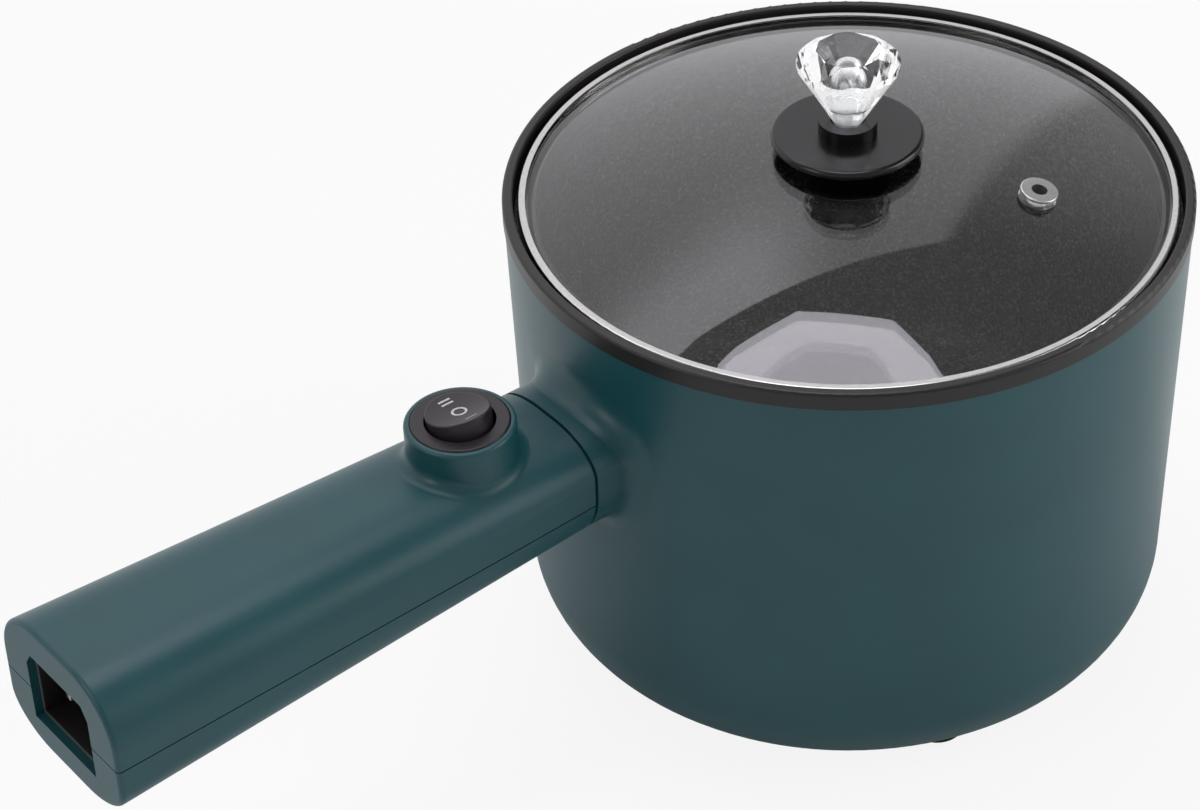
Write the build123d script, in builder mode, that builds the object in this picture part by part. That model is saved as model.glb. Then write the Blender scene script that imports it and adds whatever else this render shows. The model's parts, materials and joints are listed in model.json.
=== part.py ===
from build123d import *
import math
import os

# Electric hot pot: a fixed non-stick pot in a plastic shell, a hollow side handle with a switch and
# an appliance inlet, and a loose glass lid. Millimetres, +Z up, the feet stand on Z = 0 and the handle
# points along -X. The origin is the middle of the footprint's bounding box.

os.makedirs("parts", exist_ok=True)

# ---- overall ----
rim_r = 85.5            # outside of the rim ring, the widest round of the pot
handle_reach = 232.2    # pot axis to the handle's end face
foot_height = 2.5
body_depth = 127.8      # rim ring's top down to the base cover's underside
rim_top = foot_height + body_depth
pot_x = (handle_reach - rim_r) / 2
running_gap = 0.05      # radial, for shafts that turn and screws in their holes
easy_gap = 0.3          # between parts that are lifted apart

# ---- plastic shell and rim ring ----
shell_wall = 2.2
rim_step = 0.3          # shell's top edge inside the rim ring's
shell_taper = 3.1
shell_top_r = rim_r - rim_step
shell_base_r = shell_top_r - shell_taper    # the tapered side, carried on down to the base plane
base_round = 23.6
rim_side = 4.5          # visible height of the rim ring
rim_width = 2.6
rim_edge_round = 0.9
shell_top = rim_top - rim_side
cover_rim = 2.7
cover_split = foot_height + cover_rim   # height where the shell stands on the base cover

# ---- inner pot ----
pot_wall = 1.5
pot_shell_gap = 3.7     # air between the pot's mouth and the shell
pot_taper = 4.0
pot_r = shell_top_r - shell_wall - pot_shell_gap - pot_wall     # mouth that the lid's skirt drops into
pot_floor_r = pot_r - pot_taper
pot_floor = 2.5
heater_room = 29.8      # base cover's underside up to the cooking surface
pot_depth = body_depth - heater_room
floor_round = 9.0
mouth_length = 12.7     # straight part of the wall below the flange
flange_drop = 6.3       # rim ring's top down to the flange that carries the lid
flange_thick = 1.2
flange_lip_round = 1.0
flange_r = rim_r - rim_width - easy_gap
flange_top = rim_top - flange_drop
ledge_thick = 1.8
rabbet_wall = 1.1       # shell wall left outside the rim ring's skirt
floor_top = rim_top - pot_depth
pot_under = floor_top - pot_floor

# ---- lid ----
lid_side_gap = 1.2      # between the lid and the rim ring
lid_r = rim_r - rim_width - lid_side_gap
lid_steel = 0.6
lid_lip = 1.9           # width of the steel lip seen around the glass
lid_height = 5.0
lid_skirt_depth = 6.2
lid_skirt_gap = 0.5
lid_skirt_r = pot_r - lid_skirt_gap
glass_thick = 3.6
glass_rise = 13.55      # middle of the dome above the glass's edge
glass_edge_gap = 0.05
glass_side_gap = 0.2
glass_r = lid_r - lid_steel - glass_side_gap
dome_r = lid_r - lid_lip - lid_steel
lid_top = flange_top + lid_height
glass_edge_top = lid_top - lid_steel - glass_edge_gap
glass_top = glass_edge_top + glass_rise
sphere_r = (dome_r**2 + glass_rise**2) / (2 * glass_rise)

# ---- steam eyelet ----
eyelet_reach = 48.2
eyelet_angle = -57.4
eyelet_hole_r = 2.0
eyelet_barrel_r = 3.0
eyelet_flange_r = 4.7
eyelet_flange = 0.8

# ---- knob ----
disc_r = 18.9
disc_thick = 2.4
disc_edge_round = 1.15
knob_gasket_r = 11.0
knob_gasket = 1.4
neck_r = 7.25
neck_height = 3.5
cap_r = 10.2            # black cap under the glass
cap_height = 8.3
cap_edge_round = 0.7
cap_gasket = 1.0
knob_screw_r = 2.5
knob_screw_head_r = 4.5
knob_screw_head = 3.0
knob_screw_recess = 1.6
knob_screw_cross_r = 2.7    # cross recess in the head
knob_screw_cross = 1.0
knob_screw_end = 0.05       # gap above the screw's end
screw_shank_gap = 0.15      # around a screw's shank or head where it only passes
knob_screw_grip = 6.0   # length of thread inside the crystal
crystal_sides = 10
crystal_foot_r = 4.3
crystal_sink = 1.6      # round foot let into the neck, and its height above it
crystal_stand = 0.9
crystal_girdle_r = 12.7
crystal_table_r = 8.0
crystal_cone = 13.4     # heights of the cone, the girdle band and the crown
crystal_girdle = 2.9
crystal_crown = 2.5

# ---- handle ----
collar_length = 9.7
seam_reach = shell_top_r + collar_length    # middle of the groove between collar and handle
seam_gap = 0.9
handle_wall = 2.2
bulkhead = 2.4
root_half = 19.2        # half width and height of the section at the seam, its top below the rim
root_tall = 31.2
root_drop = 24.1
root_waist = 10.8       # top of the section down to its widest height
root_roundness = 0.84   # share of each quarter that is curved
tip_half = 24.1         # the same at the handle's end
tip_tall = 37.0
tip_drop = 20.3
tip_waist = 22.1
tip_roundness = 0.68
root_top = rim_top - root_drop
root_bottom = root_top - root_tall
tip_top = rim_top - tip_drop
tip_bottom = tip_top - tip_tall
end_edge_round = 1.2
collar_round = 6.0      # soft root where the collar leaves the shell
collar_sink = 6.0       # collar's blank carried on inside the shell before it is hollowed
parting_drop = 16.5     # top of the handle's root down to the parting line
parting_height = root_top - parting_drop
parting_gap = 0.35
parting_depth = 0.6

# ---- handle screws and anchor plate ----
m4_r = 2.0
m4_head_r = 3.6
m4_head = 2.4
m4_slot = 0.9           # cross recess in a head
m4_slot_length = 5.8
screw_end_gap = 1.0     # room left beyond a screw's end
anchor_side = 11.0
anchor_drop = 9.2
anchor_height = root_top - anchor_drop
anchor_plate = 2.0
anchor_plate_half = 14.4
anchor_plate_height = 8.4
anchor_boss_r = 4.2
anchor_boss = 9.0
shell_screw_r = 1.6
shell_screw_head_r = 2.9
shell_screw_head = 1.8
shell_screw_near = 30.4     # from the switch to the nearer of the two screws
shell_screw_far = 48.2      # from the handle's end to the other
shell_screw_boss_r = 4.2
shell_screw_bite = 11.0
shell_screw_sink = 3.0

# ---- appliance inlet ----
inlet_half = 13.05      # opening in the handle's end
inlet_top_half = 10.8
inlet_tall = 19.95
inlet_drop = 9.25       # top of the handle's end down to the opening
inlet_chamfer = 3.45
inlet_top = tip_top - inlet_drop
inlet_bottom = inlet_top - inlet_tall
socket_inset = 0.6      # inlet's own cavity inside that opening
socket_wall = 1.4
socket_depth = 17.5
socket_back = 3.0
blade_wide = 4.0
blade_thick = 2.0
blade_length = 14.0
blade_pitch = 7.0
blade_drop = 2.0
earth_rise = 2.0
tab_wide = 4.8
tab_thick = 0.8
tab_length = 8.0
inlet_rib = 2.4
inlet_rib_lap = 2.2

# ---- rocker switch ----
switch_setback = 24.7   # from the seam
switch_reach = seam_reach + switch_setback
shell_screw_reaches = (switch_reach + shell_screw_near, handle_reach - shell_screw_far)
bezel_r = 11.9
bezel_thick = 1.8
bezel_stand = 10.7      # above the handle's top at the root
bezel_top = root_top + bezel_stand
bezel_sink = 1.5
boss_r = 13.4
boss_root_round = 3.0
window_r = 8.6
barrel_r = 9.95
panel_gap = 0.15        # around the barrel and the bezel in the handle
barrel_depth = 15.8
barrel_floor = 1.6
rocker_r = 7.9
rocker_stand = 3.3      # rocker's ends above the bezel, in the middle position
rocker_dish = 1.0
rocker_edge_round = 0.35
rocker_under = 2.0
rocker_tilt = 10.0      # one throw either side of the middle position
pivot_drop = 2.1        # pivot axis below the bezel's top
trunnion_r = 1.2
trunnion_end_gap = 0.25
stem_r = 2.2
stem_bore_r = 1.45
stem_depth = 6.6
stem_bore_top = 1.0
plunger_r = 1.35
plunger_seat = 4.5      # spring's lower end, below the pivot
spring_wire_r = 0.2
spring_pitch = 0.8
lever_drop = 10.1       # pivot axis down to the contact lever's top
lever_gap = 0.3
lever_thick = 0.8
lever_half = 7.3
lever_wide = 5.0
lever_ratio = 0.4       # lever's swing for each degree of the rocker
contact_pitch = 6.4
contact_gap = 0.25
tab_drop = 7.0          # switch tabs below the barrel
diode_r = 2.4
diode_length = 8.0
diode_wire_r = 0.4
diode_offset = 7.4      # from the switch towards the handle's end
diode_bend = 1.2

# ---- heater ----
plate_inset = 13.8      # heater plate's edge inside the pot's floor
plate_thick = 4.0
heater_inset = 14.0
plate_r = pot_floor_r - plate_inset
heater_ring_r = plate_r - heater_inset
heater_tube_r = 3.25
heater_sink = 2.0       # depth of the tube in the plate
heater_gap_angle = 15.0
heater_leg = 7.0
heater_pin_r = 1.5
pin_bite = 5.6          # depth of the pins in the terminal block
stud_ring_r = 30.0
stud_r = 4.0
stud_neck_r = 3.0
stud_count = 3
stud_rise = 4.0
stud_end = foot_height + stud_rise
shield_thick = 0.8
shield_lap = 4.0        # shield's edge beyond the plate's
shield_r = plate_r + shield_lap
shield_hole_r = 19.0
shield_slot_half = 19.0
shield_drop = 6.6       # below the heater plate
thermostat_r = 8.0
thermostat_cap = 5.0
thermostat_neck_r = 6.0
thermostat_neck = 5.2
clip_thick = 0.8
clip_half_length = 17.0
clip_half_width = 5.0
clip_eye = 2.0          # width of the clip around the thermostat's neck
clip_boss_side = 13.0
clip_boss_r = 3.0
m3_r = 1.5
m3_head_r = 2.7
m3_head = 1.6
fuse_setback = 11.0     # from the terminal block
fuse_r = 2.0
fuse_length = 10.0
sleeve_wall = 0.5
sleeve_length = 14.0
strap_thick = 0.6
strap_wide = 4.0
strap_foot = 4.0

# ---- base cover, feet, terminal block, leads ----
cover_thick = 2.2
spigot_height = 3.0
spigot_wall = 1.8
cover_boss_r = 5.0
cover_screw_web = 1.6   # cover left between a screw's head and the stud's end
cover_screw_sink = 0.2
vent_count = 8
vent_reach = 14.0
vent_length = 11.0
vent_width = 2.4
foot_count = 5
foot_inset = 21.1       # ring of feet inside the shell's base
foot_ring_r = shell_base_r - foot_inset
foot_r = 7.0
foot_sink = 0.8
block_lap = 5.43        # block's inner side from the heater's pins
block_deep = 18.0
block_half = 17.0
block_height = 10.0
block_bore = 4.0
block_round = 1.5
lead_r = 1.1
lead_bend = 2.6
lead_outer_lane = 11.0
lead_drop = 2.2
lead_height = parting_height - lead_drop
lead_wall_top = 2.1     # the leads hang between pot and shell, so far outside the pot's mouth
lead_wall_low = 0.8
lead_wall_rise = 39.5   # height of the bend below, above the base
lead_exit = 14.0        # straight run of a lead before it crosses to its lane
lead_cross = 20.0       # length of that crossing
lead_entry = 12.0       # straight run into the terminal block
switch_run = 10.0       # straight run up to the switch's middle tab
earth_exit = 6.0        # the earth lead leaves the middle blade over the live one
earth_rise_run = 30.0
earth_run_in = 18.0
lug_inset = 5.0
lug_ring_r = plate_r - lug_inset
lug_thick = 0.8
lug_r = 3.6
lug_boss_r = 3.5
lug_boss = 4.0


# ---- planes and shared outlines ----
def pot_plane(height):
    """Level plane at a height, centred on the pot's axis."""
    return Plane(origin=(pot_x, 0, height))


def radial_plane(angle):
    """Upright plane through the pot's axis: local x is the radius, local y the height."""
    turn = math.radians(angle)
    return Plane(
        origin=(pot_x, 0, 0),
        x_dir=(math.cos(turn), math.sin(turn), 0),
        z_dir=(math.sin(turn), -math.cos(turn), 0),
    )


def handle_plane(reach, height=0.0):
    """Plane across the handle, facing its end: local x is sideways, local y is up."""
    return Plane(origin=(pot_x - reach, 0, height), x_dir=(0, -1, 0), z_dir=(-1, 0, 0))


def at(reach, side, height):
    """Point at a reach along the handle, a distance to its side and a height."""
    return (pot_x - reach, -side, height)


def corner(x, y):
    """The sketch vertex nearest to a local point."""
    return vertices().sort_by_distance((x, y, 0))[0]


pot_axis = Axis((pot_x, 0, 0), (0, 0, 1))


def shell_form(inset, top):
    """Tapered round body with its bottom round, drawn in by a wall and flat at the top."""
    low = foot_height + inset
    slope = (shell_top_r - shell_base_r) / (shell_top - foot_height)
    low_r = shell_base_r - inset + slope * inset
    top_r = shell_base_r - inset + slope * (top - foot_height)
    with BuildPart() as form:
        with BuildSketch(radial_plane(0)):
            with BuildLine():
                Polyline((0, low), (low_r, low), (top_r, top), (0, top), close=True)
            make_face()
            fillet(corner(low_r, low), base_round - inset)
        revolve(axis=pot_axis)
    return form.part


def handle_section(reach, inset):
    """Rounded cross-section of the handle at a reach, drawn in all over by inset."""
    share = (reach - seam_reach) / (handle_reach - seam_reach)
    half = root_half + (tip_half - root_half) * share
    top = root_top + (tip_top - root_top) * share
    bottom = root_bottom + (tip_bottom - root_bottom) * share
    waist = top - root_waist - (tip_waist - root_waist) * share
    flat = 1 - root_roundness - (tip_roundness - root_roundness) * share
    flat_half = half * flat
    shoulder = waist + (top - waist) * flat
    haunch = waist - (waist - bottom) * flat
    half = half - inset
    top = top - inset
    bottom = bottom + inset
    upper = (half - flat_half, top - shoulder)
    lower = (half - flat_half, haunch - bottom)
    with BuildSketch(handle_plane(reach)) as section:
        with BuildLine():
            Line((-flat_half, top), (flat_half, top))
            EllipticalCenterArc((flat_half, shoulder), *upper, 0, arc_size=90)
            Line((half, shoulder), (half, haunch))
            EllipticalCenterArc((flat_half, haunch), *lower, 270, arc_size=90)
            Line((flat_half, bottom), (-flat_half, bottom))
            EllipticalCenterArc((-flat_half, haunch), *lower, 180, arc_size=90)
            Line((-half, haunch), (-half, shoulder))
            EllipticalCenterArc((-flat_half, shoulder), *upper, 90, arc_size=90)
        make_face()
    return section.sketch


def handle_form(inset):
    """Outside of the handle, drawn in all over by inset."""
    root = handle_section(seam_reach + seam_gap / 2 + inset, inset)
    tip = handle_section(handle_reach - inset, inset)
    with BuildPart() as form:
        loft([root, tip], ruled=True)
    return form.part


def inlet_outline(reach, inset):
    """Six-sided outline of the appliance inlet, drawn in by inset."""
    half = inlet_half - inset
    top_half = inlet_top_half - inset
    with BuildSketch(handle_plane(reach)) as outline:
        Polygon(
            (-top_half, inlet_top - inset),
            (top_half, inlet_top - inset),
            (half, inlet_top - inlet_chamfer),
            (half, inlet_bottom + inset),
            (-half, inlet_bottom + inset),
            (-half, inlet_top - inlet_chamfer),
            align=None,
        )
    return outline.sketch


# ---- plastic shell with the handle's collar ----
collar_end = seam_reach - seam_gap / 2
collar_root = shell_base_r - shell_wall - collar_sink
collar_floor_reach = collar_end - bulkhead
lead_slot_half = lead_outer_lane + 2 * lead_r
lead_slot_height = 5.6
shell_hollow = shell_form(shell_wall, rim_top)
ledge_top = flange_top - flange_thick
ring_foot = ledge_top - ledge_thick

with BuildPart() as outer_shell:
    add(shell_form(0, shell_top))
    extrude(handle_section(collar_end, 0), amount=-(collar_end - collar_root))
    root_edges = edges().filter_by_position(Axis.X, pot_x - collar_end + 1, pot_x - collar_root)
    root_edges = root_edges.filter_by_position(Axis.Z, root_bottom - 1, root_top + 1)
    fillet(root_edges.filter_by(Axis.X, reverse=True), collar_round)
    add(shell_hollow, mode=Mode.SUBTRACT)
    hollow_section = handle_section(collar_floor_reach, shell_wall)
    extrude(hollow_section, amount=-(collar_floor_reach - collar_root), mode=Mode.SUBTRACT)
    with BuildSketch(handle_plane(collar_end)):
        with Locations((0, lead_height)):
            Rectangle(2 * lead_slot_half, lead_slot_height)
        with Locations((-anchor_side, anchor_height), (anchor_side, anchor_height)):
            Circle(m4_r + running_gap)
    extrude(amount=-2 * bulkhead, mode=Mode.SUBTRACT)
    with BuildSketch(pot_plane(ring_foot)):
        Circle(shell_top_r - rabbet_wall + running_gap)
    extrude(amount=rim_side + flange_drop + ledge_thick, mode=Mode.SUBTRACT)
    split(bisect_by=Plane.XY.offset(cover_split), keep=Keep.TOP)
outer_shell.part.label = "outer_shell"
export_step(outer_shell.part, "parts/outer_shell.step")

# ---- rim ring: caps the shell's edge and carries the pot's flange ----
ring_inner_r = rim_r - rim_width
ledge_inner_r = pot_r + pot_wall + easy_gap
skirt_outer_r = shell_top_r - rabbet_wall

with BuildPart() as rim_ring:
    with BuildSketch(radial_plane(0)):
        with BuildLine():
            Polyline(
                (skirt_outer_r, shell_top),
                (rim_r, shell_top),
                (rim_r, rim_top),
                (ring_inner_r, rim_top),
                (ring_inner_r, ledge_top),
                (ledge_inner_r, ledge_top),
                (ledge_inner_r, ring_foot),
                (skirt_outer_r, ring_foot),
                close=True,
            )
        make_face()
        fillet(corner(rim_r, rim_top), rim_edge_round)
        fillet(corner(ring_inner_r, rim_top), rim_edge_round / 2)
    revolve(axis=pot_axis)
rim_ring.part.label = "rim_ring"
export_step(rim_ring.part, "parts/rim_ring.step")

# ---- inner pot: drawn aluminium with a flange and a straight mouth ----
mouth_low = flange_top - mouth_length
with BuildPart() as inner_pot:
    with BuildSketch(radial_plane(0)):
        with BuildLine():
            Polyline(
                (0, floor_top),
                (pot_floor_r, floor_top),
                (pot_r, mouth_low),
                (pot_r, flange_top),
                (flange_r, flange_top),
                (flange_r, ledge_top),
                (pot_r + pot_wall, ledge_top),
                (pot_r + pot_wall, mouth_low),
                (pot_floor_r + pot_wall, pot_under),
                (0, pot_under),
                close=True,
            )
        make_face()
        fillet(corner(pot_floor_r, floor_top), floor_round)
        fillet(corner(pot_floor_r + pot_wall, pot_under), floor_round + pot_wall)
        fillet(corner(pot_r, flange_top), flange_lip_round)
    revolve(axis=pot_axis)
inner_pot.part.label = "inner_pot"
export_step(inner_pot.part, "parts/inner_pot.step")

# ---- lid: glass dome in a rolled steel rim ----
glass_flat = glass_edge_top - glass_thick
glass_under = glass_top - glass_thick


def dome_height(radius):
    """Height of the dome's upper surface at a radius from the pot's axis."""
    return glass_top - sphere_r + math.sqrt(sphere_r**2 - radius**2)


turn = math.radians(eyelet_angle)
slope_turn = math.asin(eyelet_reach / sphere_r)
eyelet_normal = (
    math.sin(slope_turn) * math.cos(turn),
    math.sin(slope_turn) * math.sin(turn),
    math.cos(slope_turn),
)
eyelet_plane = Plane(
    origin=(
        pot_x + eyelet_reach * math.cos(turn),
        eyelet_reach * math.sin(turn),
        dome_height(eyelet_reach),
    ),
    z_dir=eyelet_normal,
)

with BuildPart() as lid_glass:
    with BuildSketch(radial_plane(0)):
        with BuildLine():
            rim_low = (glass_r, glass_flat)
            Line((0, glass_under), (0, glass_top))
            ThreePointArc(
                (0, glass_top), (dome_r / 2, dome_height(dome_r / 2)), (dome_r, glass_edge_top)
            )
            Polyline((dome_r, glass_edge_top), (glass_r, glass_edge_top), rim_low, (dome_r, glass_flat))
            ThreePointArc(
                (dome_r, glass_flat),
                (dome_r / 2, dome_height(dome_r / 2) - glass_thick),
                (0, glass_under),
            )
        make_face()
    revolve(axis=pot_axis)
    with BuildSketch(pot_plane(glass_top + 1)):
        Circle(knob_screw_r + screw_shank_gap)
    extrude(amount=-2 * glass_thick, mode=Mode.SUBTRACT)
    with BuildSketch(eyelet_plane.offset(glass_thick)):
        Circle(eyelet_barrel_r + running_gap)
    extrude(amount=-3 * glass_thick, mode=Mode.SUBTRACT)
lid_glass.part.label = "lid_glass"
export_step(lid_glass.part, "parts/lid_glass.step")

lid_low = flange_top
lip_inner_r = lid_r - lid_lip
with BuildPart() as lid_rim:
    with BuildSketch(radial_plane(0)):
        with BuildLine():
            Polyline(
                (lid_skirt_r - lid_steel, lid_low + lid_steel),
                (lid_r - lid_steel, lid_low + lid_steel),
                (lid_r - lid_steel, lid_top - lid_steel),
                (lip_inner_r, lid_top - lid_steel),
                (lip_inner_r, lid_top),
                (lid_r, lid_top),
                (lid_r, lid_low),
                (lid_skirt_r, lid_low),
                (lid_skirt_r, lid_low - lid_skirt_depth),
                (lid_skirt_r - lid_steel, lid_low - lid_skirt_depth),
                close=True,
            )
        make_face()
        fillet(corner(lid_r, lid_top), lid_steel)
        fillet(corner(lid_skirt_r - lid_steel, lid_low - lid_skirt_depth), lid_steel / 3)
    revolve(axis=pot_axis)
lid_rim.part.label = "lid_rim"
export_step(lid_rim.part, "parts/lid_rim.step")

with BuildPart() as steam_eyelet:
    with BuildSketch(eyelet_plane):
        Circle(eyelet_flange_r)
    extrude(amount=eyelet_flange)
    circles = edges().filter_by(GeomType.CIRCLE)
    fillet(circles.sort_by(Axis(eyelet_plane.origin, eyelet_plane.z_dir))[-1], eyelet_flange / 3)
    with BuildSketch(eyelet_plane):
        Circle(eyelet_barrel_r)
    extrude(amount=-glass_thick - eyelet_flange)
    with BuildSketch(eyelet_plane.offset(-glass_thick)):
        Circle(eyelet_flange_r)
    extrude(amount=-eyelet_flange)
    with BuildSketch(eyelet_plane.offset(2 * eyelet_flange)):
        Circle(eyelet_hole_r)
    extrude(amount=-2 * glass_thick, mode=Mode.SUBTRACT)
    add(lid_glass.part, mode=Mode.SUBTRACT)
steam_eyelet.part.label = "steam_eyelet"
export_step(steam_eyelet.part, "parts/steam_eyelet.step")

# ---- knob: disc and neck, crystal grip, gaskets, cap and screw ----
disc_low = glass_top + knob_gasket
disc_top = disc_low + disc_thick
neck_top = disc_top + neck_height
crystal_low = neck_top - crystal_sink
cone_low = neck_top + crystal_stand
cap_gasket_low = glass_under - (cap_r**2) / (2 * sphere_r) - cap_gasket
cap_low = cap_gasket_low - cap_height

with BuildPart() as knob_gasket_top:
    with BuildSketch(pot_plane(disc_low)):
        Circle(knob_gasket_r)
        Circle(knob_screw_r + screw_shank_gap, mode=Mode.SUBTRACT)
    extrude(amount=-2 * knob_gasket)
    add(lid_glass.part, mode=Mode.SUBTRACT)
    split(bisect_by=Plane.XY.offset(glass_top - knob_gasket / 2), keep=Keep.TOP)
knob_gasket_top.part.label = "knob_gasket_top"
export_step(knob_gasket_top.part, "parts/knob_gasket_top.step")

with BuildPart() as knob_base:
    with BuildSketch(pot_plane(disc_low)):
        Circle(disc_r)
    extrude(amount=disc_thick)
    fillet(edges().filter_by(GeomType.CIRCLE), disc_edge_round)
    with BuildSketch(pot_plane(disc_top)):
        Circle(neck_r)
    extrude(amount=neck_height)
    with BuildSketch(pot_plane(crystal_low)):
        Circle(crystal_foot_r + running_gap)
    extrude(amount=crystal_sink, mode=Mode.SUBTRACT)
    with BuildSketch(pot_plane(disc_low)):
        Circle(knob_screw_r + running_gap)
    extrude(amount=disc_thick + neck_height, mode=Mode.SUBTRACT)
knob_base.part.label = "knob_base"
export_step(knob_base.part, "parts/knob_base.step")

girdle_low = cone_low + crystal_cone
girdle_top = girdle_low + crystal_girdle
crystal_top = girdle_top + crystal_crown
screw_top = crystal_low + knob_screw_grip
with BuildPart() as knob_crystal:
    with BuildSketch(pot_plane(crystal_low)):
        Circle(crystal_foot_r)
    extrude(amount=cone_low - crystal_low)
    with BuildSketch(pot_plane(cone_low)) as foot_outline:
        RegularPolygon(crystal_foot_r, crystal_sides)
    with BuildSketch(pot_plane(girdle_low)) as girdle_outline:
        RegularPolygon(crystal_girdle_r, crystal_sides)
    with BuildSketch(pot_plane(girdle_top)) as crown_outline:
        RegularPolygon(crystal_girdle_r, crystal_sides)
    with BuildSketch(pot_plane(crystal_top)) as table_outline:
        RegularPolygon(crystal_table_r, crystal_sides)
    loft(ruled=True)
    with BuildSketch(pot_plane(crystal_low)):
        Circle(knob_screw_r + running_gap)
    extrude(amount=knob_screw_grip, mode=Mode.SUBTRACT)
knob_crystal.part.label = "knob_crystal"
export_step(knob_crystal.part, "parts/knob_crystal.step")

with BuildPart() as knob_gasket_low:
    with BuildSketch(pot_plane(cap_gasket_low)):
        Circle(cap_r)
        Circle(knob_screw_r + screw_shank_gap, mode=Mode.SUBTRACT)
    extrude(amount=2 * cap_gasket)
    add(lid_glass.part, mode=Mode.SUBTRACT)
    split(bisect_by=Plane.XY.offset(glass_under + cap_gasket / 2), keep=Keep.BOTTOM)
knob_gasket_low.part.label = "knob_gasket_low"
export_step(knob_gasket_low.part, "parts/knob_gasket_low.step")

with BuildPart() as knob_cap:
    with BuildSketch(pot_plane(cap_low)):
        Circle(cap_r)
    extrude(amount=cap_height)
    fillet(edges().group_by(Axis.Z)[0], cap_edge_round)
    with BuildSketch(pot_plane(cap_low)):
        Circle(knob_screw_head_r + screw_shank_gap)
    extrude(amount=knob_screw_recess + knob_screw_head, mode=Mode.SUBTRACT)
    with BuildSketch(pot_plane(cap_low)):
        Circle(knob_screw_r + running_gap)
    extrude(amount=cap_height, mode=Mode.SUBTRACT)
knob_cap.part.label = "knob_cap"
export_step(knob_cap.part, "parts/knob_cap.step")

with BuildPart() as knob_screw:
    with BuildSketch(pot_plane(cap_low + knob_screw_recess)):
        Circle(knob_screw_head_r)
    extrude(amount=knob_screw_head)
    with BuildSketch(pot_plane(cap_low + knob_screw_recess)):
        Circle(knob_screw_r)
    extrude(amount=screw_top - knob_screw_end - cap_low - knob_screw_recess)
    with BuildSketch(pot_plane(cap_low + knob_screw_recess)):
        Rectangle(2 * knob_screw_cross_r, knob_screw_cross)
        Rectangle(knob_screw_cross, 2 * knob_screw_cross_r)
    extrude(amount=knob_screw_head / 2, mode=Mode.SUBTRACT)
knob_screw.part.label = "knob_screw"
export_step(knob_screw.part, "parts/knob_screw.step")

# ---- handle: two hollow halves around the inlet, the switch and the leads ----
handle_body = handle_form(0)
core_start = seam_reach + seam_gap / 2 + bulkhead
core_end = handle_reach - handle_wall
inlet_front = core_end
inlet_back = inlet_front - socket_depth - socket_back
switch_x = pot_x - switch_reach
boss_top = bezel_top - bezel_thick + bezel_sink
bezel_low = bezel_top - bezel_thick

with BuildPart() as handle_core:
    loft([handle_section(core_start, handle_wall), handle_section(core_end, handle_wall)], ruled=True)

with BuildPart() as parting_groove:
    with BuildSketch(Plane.XY.offset(parting_height - parting_gap / 2)):
        with Locations((pot_x - handle_reach / 2, 0)):
            Rectangle(2 * handle_reach, 4 * tip_half)
    extrude(amount=parting_gap)
    add(handle_form(parting_depth), mode=Mode.SUBTRACT)

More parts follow.
